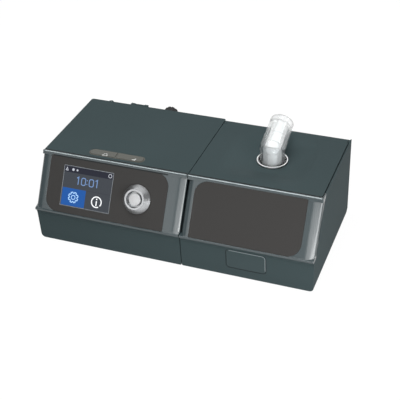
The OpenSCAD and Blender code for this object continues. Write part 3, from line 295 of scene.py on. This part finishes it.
def turned(name, code, rough, centre, axis):
    """Turned metal: fine rings about an axis through a centre."""
    paint, colour = Paint(name), rgb(code)
    mapping = paint.add("ShaderNodeMapping", {
        "Vector": paint.place,
        "Location": centre,
        "Rotation": axis.to_track_quat("Z", "Y").to_euler(),
    }, vector_type="TEXTURE")
    rings = paint.add("ShaderNodeTexWave", {
        "Vector": mapping.outputs["Vector"],
        "Scale": 900,
        "Distortion": 6,
        "Detail": 3,
        "Detail Scale": 3,
    }, wave_type="RINGS", rings_direction="Z").outputs["Fac"]
    turnings = paint.tones(rings, colour, 0.9, 1.06, start=0.2, end=0.8)
    # The hollows, such as the knob's groove, darken almost to black: a painted shade.
    return paint.set(
        Base_Color=paint.crevice_shade(turnings, shade(colour, 0.05)),
        Roughness=paint.level(rings, rough, rough + 0.12, start=0, end=1),
        Normal=paint.bump(rings, depth=0.02 * MM, strength=0.12),
        Metallic=1.0,
    )


def clear(name, code):
    """Clear moulded plastic with faint flow lines. It lets part of the light straight through."""
    paint, colour = Paint(name), rgb(code)
    flow = paint.noise(scale=40, detail=3, stretch=(1, 1, 0.2))
    return paint.set(
        Base_Color=paint.tones(flow, colour, 0.985, 1.0),
        Roughness=paint.level(flow, 0.05, 0.08),
        Normal=paint.bump(flow, depth=0.2 * MM, strength=0.06),
        Transmission_Weight=1.0,
        Alpha=0.4,
        IOR=1.45,
    )


def rubber(name, code, rough):
    """Matt rubber with a fine powdery skin."""
    paint, colour = Paint(name), rgb(code)
    fine = paint.noise(scale=1800, detail=4, rough=0.65)
    return paint.set(
        Base_Color=paint.tones(fine, colour, 0.85, 1.15),
        Roughness=paint.level(fine, rough - 0.08, rough + 0.1),
        Normal=paint.bump(fine, depth=0.1 * MM, strength=0.3),
    )


def felt(name, code):
    """Soft felt of tangled fibres."""
    paint, colour = Paint(name), rgb(code)
    fibre = paint.noise(scale=900, detail=8, rough=0.8, stretch=(1, 1, 0.35))
    return paint.set(
        Base_Color=paint.tones(fibre, colour, 0.8, 1.0, end=0.65),
        Roughness=paint.level(fibre, 0.85, 1.0),
        Normal=paint.bump(fibre, depth=0.6 * MM, strength=0.8),
    )


def board(name, code):
    """Lacquered circuit board with darker copper areas under the lacquer."""
    paint, colour = Paint(name), rgb(code)
    cells = paint.add(
        "ShaderNodeTexVoronoi", {"Vector": paint.place, "Scale": 260},
        distance="CHEBYCHEV", feature="F1",
    ).outputs["Distance"]
    return paint.set(
        Base_Color=paint.tones(cells, colour, 0.7, 1.25, start=0.32, end=0.36),
        Roughness=paint.level(cells, 0.25, 0.4),
        Normal=paint.bump(cells, depth=0.06 * MM, strength=0.3),
    )


def glowing(name, code):
    """A lit screen area: its own light with a fine pixel grid."""
    paint, colour = Paint(name), rgb(code)
    grid = paint.noise(scale=3000, detail=1)
    return paint.set(
        Base_Color=paint.tones(grid, colour, 0.2, 0.25),
        Emission_Color=paint.tones(grid, colour, 0.94, 1.04),
        Emission_Strength=1.0,
        Roughness=paint.level(grid, 0.3, 0.35),
        Specular_IOR_Level=0.2,
    )


# Materials of the solids, by their slots in the record
MATERIALS = {
    "case_plastic": moulded("case_plastic", "424e50", rough=0.48, gloss=0.01),
    # The frames' edges are lightened to twice their tone: a painted highlight.
    "frame_plastic": moulded("frame_plastic", "394447", rough=0.2, grain=0.3, gloss=0.9, edge=2.0),
    "insert_plastic": glossy("insert_plastic", "3a3938", rough=0.32, gloss=0.12),
    "inner_plastic": moulded("inner_plastic", "1f2122", rough=0.5),
    "smoke_plastic": glossy("smoke_plastic", "53544e", rough=0.2, gloss=0.4),
    "white_plastic": moulded("white_plastic", "d9dad6", rough=0.45),
    "clear_plastic": clear("clear_plastic", "f4f8f9"),
    "screen_glass": glossy("screen_glass", "10151c", rough=0.08),
    "soft_black": rubber("soft_black", "1c1c1d", rough=0.75),
    "seal_silicone": rubber("seal_silicone", "a6abae", rough=0.5),
    "filter_felt": felt("filter_felt", "e4e4df"),
    "circuit_board": board("circuit_board", "17512c"),
    "brushed_metal": turned("brushed_metal", "cfd1d3", 0.26, KNOB_AT, SLOPE_OUT),
    "satin_metal": turned("satin_metal", "e2e3e4", 0.34, KNOB_AT, SLOPE_OUT),
    "bare_metal": metal("bare_metal", "c3c6c8", rough=0.28),
    "brass_pin": metal("brass_pin", "c9a45c", rough=0.25, stretch=(1, 0.1, 1)),
}
LATCH_PLASTIC = moulded("latch_plastic", "424e50", rough=0.4, gloss=0.05)
SMOOTH_ANGLE = math.radians(32)


def dress_nodes():
    """Every solid takes the material of its slot, and the latch one worn a little smoother."""
    for part in frame["record"]["subparts"]:
        node = frame["nodes"][part["node"]]
        node.data.materials.clear()
        node.data.materials.append(MATERIALS[part["material_slot"]])
        shade_smooth(node.data)
    frame["nodes"]["lid_latch"].data.materials[0] = LATCH_PLASTIC


def shade_smooth(mesh):
    """Smooth shading that stops at edges sharper than the smooth angle."""
    bm = bmesh.new()
    bm.from_mesh(mesh)
    for face in bm.faces:
        face.smooth = True
    for edge in bm.edges:
        edge.smooth = len(edge.link_faces) == 2 and edge.calc_face_angle(0) < SMOOTH_ANGLE
    bm.to_mesh(mesh)
    bm.free()


dress_nodes()


# Outlines and pieces

def slope_mm(out):
    """Placing function of the sloping face, for x across and up along it, a little out of it."""
    return lambda x, up, lift: on_slope(x * MM, up * MM, (out + lift) * MM)


def level_mm(z):
    """Placing function of a level face at a height in metres."""
    return lambda x, y, lift: Vector((x * MM, y * MM, z + lift * MM))


def arc(cx, cy, radius, start, end, steps=32):
    """Points of an arc between two angles in degrees."""
    turns = (math.radians(start + (end - start) * i / steps) for i in range(steps + 1))
    return [(cx + radius * math.cos(a), cy + radius * math.sin(a)) for a in turns]


def rectangle(x0, y0, x1, y1, corner=0.0, steps=6):
    """Outline of a rectangle, its corners rounded to a radius in so many steps."""
    if not corner:
        return [(x0, y0), (x1, y0), (x1, y1), (x0, y1)]
    points = []
    for cx, cy, start in ((x1 - corner, y0 + corner, -90), (x1 - corner, y1 - corner, 0),
                          (x0 + corner, y1 - corner, 90), (x0 + corner, y0 + corner, 180)):
        points += arc(cx, cy, corner, start, start + 90, steps)
    return points


def gear(cx, cy, tip, root, teeth=8):
    """Outline of a gear between its tip and root radius."""
    points = []
    for i in range(teeth):
        middle = 360 / teeth * (i + 0.5)
        for turn, radius in ((-16, root), (-9, tip), (9, tip), (16, root)):
            a = math.radians(middle + turn)
            points.append((cx + radius * math.cos(a), cy + radius * math.sin(a)))
    return points


def stroke(points, width, closed=False):
    """Outlines of the four-cornered pieces of a line of one width through points."""
    pairs = []
    last = len(points) - 1
    for i, (x, y) in enumerate(points):
        before = points[i - 1] if i or closed else None
        after = points[(i + 1) % len(points)] if i < last or closed else None
        sides = []
        for a, b in ((before, (x, y)), ((x, y), after)):
            if a and b:
                dx, dy = b[0] - a[0], b[1] - a[1]
                length = math.hypot(dx, dy)
                sides.append((-dy / length, dx / length))
        nx, ny = sum(n[0] for n in sides), sum(n[1] for n in sides)
        scale = width / (nx * nx + ny * ny) if len(sides) == 2 else width / 2
        pairs.append(((x + nx * scale, y + ny * scale), (x - nx * scale, y - ny * scale)))
    following = pairs[1:] + pairs[:1] if closed else pairs[1:]
    return [[a[1], b[1], b[0], a[0]] for a, b in zip(pairs, following)]


def mesh_of(name, bm):
    """Mesh written from a bmesh, which is then freed."""
    mesh = bpy.data.meshes.new(name)
    bm.to_mesh(mesh)
    bm.free()
    return mesh


def new_piece(name, bm, material, body):
    """Piece with this shape, riding on a body."""
    mesh = mesh_of(name, bm)
    piece = new_object(name, mesh)
    mesh.materials.append(material)
    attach(piece, body)
    return piece


def raised(name, outlines, place, thick, material, body):
    """A closed thin plate of the given outlines, laid on a face by its placing function."""
    bm = bmesh.new()
    lift = place(0, 0, thick) - place(0, 0, 0)
    lower, upper, sides = {}, {}, {}
    for outline in outlines:
        keys = [(round(x, 4), round(y, 4)) for x, y in outline]
        for key, (x, y) in zip(keys, outline):
            if key not in lower:
                lower[key] = bm.verts.new(place(x, y, 0))
                upper[key] = bm.verts.new(place(x, y, 0) + lift)
        bm.faces.new([lower[key] for key in keys])
        bm.faces.new([upper[key] for key in keys])
        for a, b in zip(keys, keys[1:] + keys[:1]):
            if not sides.pop((b, a), False):
                sides[a, b] = True
    for a, b in sides:
        bm.faces.new((lower[a], lower[b], upper[b], upper[a]))
    bmesh.ops.recalc_face_normals(bm, faces=list(bm.faces))
    new_piece(name, bm, material, body)


# The lit picture under the screen glass, in millimetres across the slope and up along it

SCREEN_LEFT, SCREEN_RIGHT = -108.6, -59.6
SCREEN_FOOT, SCREEN_HEAD = 9.3, 46.0
SCREEN_MARGIN = 0.4
SCREEN_DEPTH = 0.15
SCREEN_LAYER = 0.05
RIM_THICK = 0.12
STATUS_BAR_FOOT = 40.2
TILE = (-107.9, 9.7, -84.4, 25.8)
RULE_LEFT, RULE_FOOT, RULE_HEAD = -83.8, 25.7, 26.1
ONE_FOOT, ONE_FLAG, ONE_HEAD = 30.1, 35.9, 37.1
ZERO_FOOT, ZERO_HEAD, ZERO_CORNER = 30.3, 36.8, 1.5
DIGIT_STROKE = 0.85


def digit_one(x0, x1):
    """A 1 between two places across the screen."""
    return stroke([(x0, ONE_FLAG), (x1, ONE_HEAD), (x1, ONE_FOOT)], DIGIT_STROKE)


def digit_zero(x0, x1):
    """A 0 between two places across the screen."""
    ring = rectangle(x0, ZERO_FOOT, x1, ZERO_HEAD, corner=ZERO_CORNER)
    return stroke(ring, DIGIT_STROKE, closed=True)


def make_screen():
    """Status bar with its signs, clock digits and two touch tiles with a gear and an i."""
    x0, x1 = SCREEN_LEFT + SCREEN_MARGIN, SCREEN_RIGHT - SCREEN_MARGIN
    field = rectangle(SCREEN_LEFT, SCREEN_FOOT, SCREEN_RIGHT, SCREEN_HEAD)
    bar = rectangle(x0, STATUS_BAR_FOOT, x1, SCREEN_HEAD - SCREEN_MARGIN)
    tile = rectangle(*TILE)
    rule = rectangle(RULE_LEFT, RULE_FOOT, x1, RULE_HEAD)
    signs = (
        stroke([(-107.0, 41.6), (-105.9, 44.2), (-104.8, 41.6)], 0.5, closed=True)
        + [arc(-99.6, 43.0, 1.2, 0, 345, 22), arc(-95.5, 42.9, 0.9, 0, 345, 22)]
        + stroke(arc(-62.6, 43.0, 1.6, 0, 345, 22), 0.5, closed=True)
    )
    clock = (
        digit_one(-94.9, -93.2) + digit_zero(-90.0, -86.0)
        + [rectangle(-84.8, 31.3, -83.9, 32.2), rectangle(-84.8, 34.7, -83.9, 35.6)]
        + digit_zero(-82.2, -78.0) + digit_one(-76.2, -74.4)
    )
    wheel = (
        stroke(gear(-96.2, 17.8, 4.9, 3.9), 0.8, closed=True)
        + stroke(arc(-96.2, 17.8, 1.9, 0, 350, 35), 0.7, closed=True)
    )
    info = (
        stroke(arc(-72.7, 17.4, 4.8, -40, 300), 1.0)
        + [rectangle(-73.3, 19.4, -72.1, 20.7), rectangle(-73.2, 13.9, -72.2, 18.4)]
    )
    for name, code, out, outlines in (
        ("screen_field", "3a3e44", 0.0, [field]),
        ("screen_bar", "22242f", 0.02, [bar]),
        ("screen_tile", "1b5096", 0.02, [tile]),
        ("screen_rule", "33353d", 0.02, [rule]),
        ("screen_signs", "b9bdc6", 0.05, signs),
        ("screen_clock", "6c88b4", 0.05, clock),
        ("screen_gear", "a5cdf5", 0.05, wheel),
        ("screen_info", "f2f4f6", 0.05, info),
    ):
        raised(name, outlines, slope_mm(out - SCREEN_DEPTH), SCREEN_LAYER, glowing(name, code),
               "main_unit")
    around = rectangle(SCREEN_LEFT - 0.1, SCREEN_FOOT - 0.1, SCREEN_RIGHT + 0.1, SCREEN_HEAD + 0.1)
    raised("screen_rim", stroke(around, 0.5, closed=True), slope_mm(-SCREEN_DEPTH), RIM_THICK,
           moulded("screen_rim", "7c8186", rough=0.3), "main_unit")


# Printed signs on the two keys of the strip

SIGN_THICK = 0.03
BELL = [
    (-76.0, -37.0), (-75.2, -36.0), (-74.6, -33.9),
    (-72.4, -33.9), (-71.8, -36.0), (-71.0, -37.0),
]
RAMP = [(-47.6, -36.8), (-43.6, -36.8), (-43.6, -33.6)]


def make_button_signs():
    ink = moulded("sign_print", "d2d4d2", rough=0.5)
    top = level_mm(high("mute_button").z)
    raised("mute_sign", stroke(BELL, 0.6, closed=True), top, SIGN_THICK, ink,
           "mute_button")
    raised("ramp_sign", [RAMP], top, SIGN_THICK, ink, "ramp_button")


# Painted highlight lines along edges and painted shadow lines along seams, in millimetres

LINE_THICK = 0.05
SEAM_THICK = 0.03
LIP_OUT, LIP_FOOT, LIP_HEAD = 0.4, 55.7, 56.3
COVER_SEAM_FRONT, COVER_SEAM_BACK = -42.4, -41.6
PANEL_SEAM = (-121, 52.85, -8, 53.9)
OUTER_INSET = 1.5  # lines stop this far from the part's outer sides
INNER_INSET = 0.8  # and this far from the gap between the two units
LATCH_FOOT, LATCH_HEAD = 10.5, 30.0
LATCH_Y_FOOT, LATCH_Y_HEAD = -68.93, -69.80
LATCH_CORNER = 3.0
LATCH_GAP = 0.45
SHINE_INSET, SHINE_THICK = 0.4, 0.12  # the painted highlight along the latch's head and right edge


def make_edge_lines():
    """Painted highlight along the lip at the top of the face, painted shadow in the seams beside it,
    and the latch's outline in painted highlight and painted shadow.
    """
    main_x = (PART_LEFT / MM + OUTER_INSET, MAIN_RIGHT / MM - INNER_INSET)
    humid_x = (HUMID_LEFT / MM + INNER_INSET, PART_RIGHT / MM - OUTER_INSET)
    # A pale strip on the lip's rounding: a painted highlight.
    lip_highlight = glossy("lip_painted_highlight", "b4bfc2", rough=0.25)
    # Dark strips laid over the seams and gaps: a painted shadow.
    gap_shadow = rubber("seam_shadow", "151b1c", rough=0.9)
    lip, top = slope_mm(LIP_OUT), level_mm(TOP_Z)
    raised("main_lip_line", [rectangle(main_x[0], LIP_FOOT, main_x[1], LIP_HEAD)], lip,
           LINE_THICK, lip_highlight, "main_unit")
    raised("humid_lip_line", [rectangle(humid_x[0], LIP_FOOT, humid_x[1], LIP_HEAD)], lip,
           LINE_THICK, lip_highlight, "humidifier")
    raised("cover_seam", [rectangle(main_x[0], COVER_SEAM_FRONT, main_x[1], COVER_SEAM_BACK)],
           top, SEAM_THICK, gap_shadow, "main_unit")
    lid_right = PART_RIGHT / MM - 2 * OUTER_INSET
    raised("lid_seam", [rectangle(humid_x[0], COVER_SEAM_FRONT, lid_right, COVER_SEAM_BACK)],
           top, SEAM_THICK, gap_shadow, "humid_lid")
    raised("panel_seam", [rectangle(*PANEL_SEAM)], slope_mm(0.0), LINE_THICK, gap_shadow,
           "main_unit")
    # A pale stroke along the latch's head and right edge: a painted highlight.
    x0, x1 = low("lid_latch").x / MM, high("lid_latch").x / MM
    head, turn = LATCH_HEAD - SHINE_INSET, LATCH_CORNER + SHINE_INSET
    shine = (
        [(x0 + 2.5, head), (x1 - LATCH_CORNER, head)]
        + arc(x1 - turn, LATCH_HEAD - turn, LATCH_CORNER, 80, 0, 8)
        + [(x1 - SHINE_INSET, LATCH_FOOT + LATCH_CORNER)]
    )
    raised("latch_edge", stroke(shine, 0.55), on_latch, SHINE_THICK,
           glossy("latch_painted_highlight", "8b9699", rough=0.3), "lid_latch")
    gap = rectangle(x0 - LATCH_GAP, LATCH_FOOT - LATCH_GAP, x1 + LATCH_GAP, LATCH_HEAD + LATCH_GAP,
                    corner=LATCH_CORNER + LATCH_GAP, steps=8)
    raised("latch_seam", stroke(gap, 0.5, closed=True), on_latch, SEAM_THICK, gap_shadow,
           "humidifier")


def on_latch(x, z, lift):
    """Placing function of the latch's front, which leans out towards its head."""
    lean = (LATCH_Y_FOOT - LATCH_Y_HEAD) / (LATCH_HEAD - LATCH_FOOT)
    return Vector((x, LATCH_Y_HEAD + (LATCH_HEAD - z) * lean - 0.01 - lift, z)) * MM


# Sleeves inside the clear elbow

ELBOW_X, ELBOW_Y, ELBOW_Z = 71.4 * MM, 8.5 * MM, 90.8 * MM  # where the leg's axis meets the neck's
ELBOW_RISE = math.radians(20)
TUBE_SIDES = 64


def tube(name, stops, axis, radius, wall, material):
    """Round tube on the elbow, along an axis through (point, cut) stops, each cut by its normal."""
    bm = bmesh.new()
    rings = []
    across = Vector((1, 0, 0))
    beside = axis.cross(across)
    for r, places in ((radius, stops), (radius - wall, stops[::-1])):
        for at, cut in places:
            ring = []
            for k in range(TUBE_SIDES):
                a = 2 * math.pi * k / TUBE_SIDES
                off = r * (math.cos(a) * across + math.sin(a) * beside)
                slide = off.dot(cut) / axis.dot(cut)
                ring.append(bm.verts.new(Vector(at) + off - axis * slide))
            rings.append(ring)
    for a, b in zip(rings, rings[1:] + rings[:1]):
        for k in range(TUBE_SIDES):
            after = (k + 1) % TUBE_SIDES
            bm.faces.new((a[k], a[after], b[after], b[k]))
    bmesh.ops.recalc_face_normals(bm, faces=list(bm.faces))
    shade_smooth(new_piece(name, bm, material, "outlet_elbow").data)


def make_sleeves():
    """White inner sleeve of the elbow's leg, grey one of its neck and bright rim of its flange."""
    corner = Vector((ELBOW_X, ELBOW_Y, ELBOW_Z))
    upright = Vector((0, 0, 1))
    leg = Vector((0, math.cos(ELBOW_RISE), math.sin(ELBOW_RISE)))
    mitre = (upright + leg).normalized()
    white = glossy("sleeve_white", "f8f9f9", rough=0.35)
    lining = glossy("neck_lining", "e6e8e9", rough=0.2, gloss=0.8)

    def level_stop(z):
        return (ELBOW_X, ELBOW_Y, z), upright

    leg_stops = [(corner, mitre), (corner + leg * 13 * MM, leg), (corner + leg * 25.5 * MM, leg)]
    neck_stops = [level_stop(76 * MM), level_stop(82 * MM), (corner - mitre * 0.3 * MM, mitre)]
    rim_stops = [level_stop(78.95 * MM), level_stop(79.35 * MM)]
    tube("leg_sleeve", leg_stops, leg, 7.2 * MM, wall=0.8 * MM, material=white)
    tube("neck_sleeve", neck_stops, upright, 8.4 * MM, wall=0.6 * MM, material=lining)
    tube("flange_rim", rim_stops, upright, 14.0 * MM, wall=0.7 * MM, material=white)


# Stand-ins for solids whose outline the photograph shows a little differently

COLUMN_RADIUS = 6.5 * MM  # rounding of the front frames' upright edges
COLUMN_EDGE = 6.6 * MM  # from a frame's side to the centre of its rounding
COLUMN_OUT = -0.1 * MM  # how far the frames' front lies out of the slope
COLUMN_BULGE = 0.45  # share of the rounding's depth that is kept
ON_COLUMN = 0.03 * MM  # a point this close to the rounding belongs to it
PAST_CENTRE, BEHIND_CENTRE = 0.02 * MM, 0.2 * MM  # and this far past its quarter circle
KNOB_FRONT = 2.5 * MM  # points of the knob further out than this are on its front
GROOVE_FROM, GROOVE_TO = 7.0 * MM, 7.5 * MM
DISC_FROM, DISC_SCALE = 4.0 * MM, 0.93


def reshaped(name, node, move, body):
    """Stand-in for a node, with its points moved."""
    mesh = frame["nodes"][node].data.copy()
    mesh.name = name
    for vertex in mesh.vertices:
        vertex.co = move(vertex.co)
    piece = new_object(name, mesh)
    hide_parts(node)
    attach(piece, body)


def flat_columns(*columns):
    """Move that flattens and widens rounded columns.

    Each column is the place across of its rounding's centre, the side that it rounds off to
    (-1 or 1) and how many times as wide it becomes.
    """
    origin = Vector((0, FRONT_Y, KNEE_Z))

    def move(co):
        out = (co - origin).dot(SLOPE_OUT)
        for centre, side, widen in columns:
            dx, dz = (co.x - centre) * side, out - COLUMN_OUT + COLUMN_RADIUS
            off = abs(math.hypot(dx, dz) - COLUMN_RADIUS)
            if dx > -PAST_CENTRE and dz > -BEHIND_CENTRE and off < ON_COLUMN:
                wider = Vector(((COLUMN_RADIUS - dx) * (1 - widen) * side, 0, 0))
                return co + SLOPE_OUT * ((COLUMN_OUT - out) * (1 - COLUMN_BULGE)) + wider
        return co

    return move


def about_knob(co):
    """How far out on the knob's axis a point lies, and its offset from the axis."""
    out = (co - KNOB_AT).dot(SLOPE_OUT)
    return out, co - KNOB_AT - SLOPE_OUT * out


def wider_groove(co):
    """Move that widens the groove between the dial and the button in it."""
    out, radial = about_knob(co)
    if out > KNOB_FRONT and radial.length < GROOVE_FROM:
        return KNOB_AT + SLOPE_OUT * out + radial * (GROOVE_TO / radial.length)
    return co


def smaller_disc(co):
    """Move that makes the button's face slightly smaller."""
    out, radial = about_knob(co)
    if out > KNOB_FRONT and radial.length > DISC_FROM:
        return KNOB_AT + SLOPE_OUT * out + radial * DISC_SCALE
    return co


def make_reshaped():
    main_columns = flat_columns(
        (PART_LEFT + COLUMN_EDGE, -1, 1.0), (MAIN_RIGHT - COLUMN_EDGE, 1, 1.5)
    )
    humid_column = flat_columns((PART_RIGHT - COLUMN_EDGE, 1, 1.4))
    reshaped("main_face_frame", "main_bezel", main_columns, "main_unit")
    reshaped("humid_face_frame", "humid_bezel", humid_column, "humidifier")
    reshaped("dial_ring", "knob_ring", wider_groove, "knob_ring")
    reshaped("dial_button", "knob_button", smaller_disc, "knob_button")


make_screen()
make_button_signs()
make_edge_lines()
make_sleeves()
make_reshaped()


# Floor with backdrop, and studio light

STAGE_HALF = 6.0  # half the floor's width, its reach to the front and the backdrop's height
STAGE_BEND = 1.2  # radius between floor and backdrop
STAGE_BEND_STEPS = 16
PAPER_TONE = 0.3
WHITE_STRENGTH = 1.2
WHITE_SHARE = 0.8
WORLD_STRENGTH = 0.2
LIGHT_AIM = Vector((0, 0, 0.04))
WHITE = (1, 1, 1, 1)
LEFT_TO_RIGHT = (1, 0, 0)

# Softboxes: name, place, sizes, watts and the direction that the first size is measured along
LIGHTS = [
    ("key", (0.1, -0.5, 1.35), (0.8, 0.8), 12.5, LEFT_TO_RIGHT),
    ("overhead", (-0.33, 0.1, 1.0), (0.35, 0.35), 2.2, LEFT_TO_RIGHT),
    ("front_left", (-0.4, -1.05, 0.46), (0.5, 0.35), 0.7, LEFT_TO_RIGHT),
    ("front_right", (0.31, -0.41, 0.1), (0.2, 0.15), 0.8, LEFT_TO_RIGHT),
    ("strip", (1.6, -1.04, 0.4), (1.2, 0.32), 9, (0.51, 0.45, -0.26)),
    ("strip_start", (0.52, -1.78, 0.76), (1.2, 0.32), 4.5, (0.9, 0.25, -0.1)),
    ("rear", (0.3, 1.4, 0.15), (1.2, 0.5), 8, LEFT_TO_RIGHT),
]


def make_stage():
    """Floor that bends up into a backdrop."""
    back, bend = STAGE_HALF / 2, STAGE_BEND
    turns = [math.pi / 2 * i / STAGE_BEND_STEPS for i in range(STAGE_BEND_STEPS + 1)]
    profile = [(-STAGE_HALF, 0.0)]
    profile += [(back - bend + bend * math.sin(a), bend - bend * math.cos(a)) for a in turns]
    profile += [(back, STAGE_HALF)]
    bm = bmesh.new()
    left, right = [[bm.verts.new((x, y, z)) for y, z in profile] for x in (-STAGE_HALF, STAGE_HALF)]
    for i in range(len(profile) - 1):
        bm.faces.new((left[i], right[i], right[i + 1], left[i + 1]))
    mesh = mesh_of("stage", bm)
    floor = new_object("stage", mesh)
    mesh.materials.append(stage_material())


def stage_material():
    """White to the camera and in reflections, apart from the shadow the object casts on it."""
    material = bpy.data.materials.new("stage_paper")
    material.use_nodes = True
    tree = material.node_tree
    tree.nodes.clear()

    def add(kind, inputs=(), **settings):
        return add_node(tree, kind, inputs, **settings).outputs

    ray = add("ShaderNodeLightPath")
    seen = add("ShaderNodeMath", {0: ray["Is Camera Ray"], 1: ray["Is Glossy Ray"]},
               operation="MAXIMUM")[0]
    seen = add("ShaderNodeMath", {0: seen, 1: ray["Is Transmission Ray"]}, operation="MAXIMUM")[0]
    share = add("ShaderNodeMath", {0: seen, 1: WHITE_SHARE}, operation="MULTIPLY")[0]
    paper = add("ShaderNodeBsdfDiffuse", {"Color": (PAPER_TONE, PAPER_TONE, PAPER_TONE, 1)})[0]
    white = add("ShaderNodeEmission", {"Color": WHITE, "Strength": WHITE_STRENGTH})[0]
    mixed = add("ShaderNodeMixShader", {"Fac": share, 1: paper, 2: white})[0]
    add("ShaderNodeOutputMaterial", {"Surface": mixed})
    return material


def area_light(name, at, sizes, power, along):
    """A softbox facing the object."""
    data = bpy.data.lights.new(name, "AREA")
    data.shape = "RECTANGLE"
    data.size, data.size_y = sizes
    data.energy = power
    back = (Vector(at) - LIGHT_AIM).normalized()
    side = Vector(along) - back * Vector(along).dot(back)
    side.normalize()
    turn = Matrix((side, back.cross(side), back)).transposed()
    new_object(name, data).matrix_world = Matrix.Translation(at) @ turn.to_4x4()


def make_lights():
    for light in LIGHTS:
        area_light(*light)
    world = bpy.data.worlds.new("studio")
    bpy.context.scene.world = world
    world.use_nodes = True
    background = world.node_tree.nodes["Background"]
    background.inputs["Color"].default_value = WHITE
    background.inputs["Strength"].default_value = WORLD_STRENGTH
    bpy.context.scene.view_settings.view_transform = "Standard"


make_stage()
make_lights()
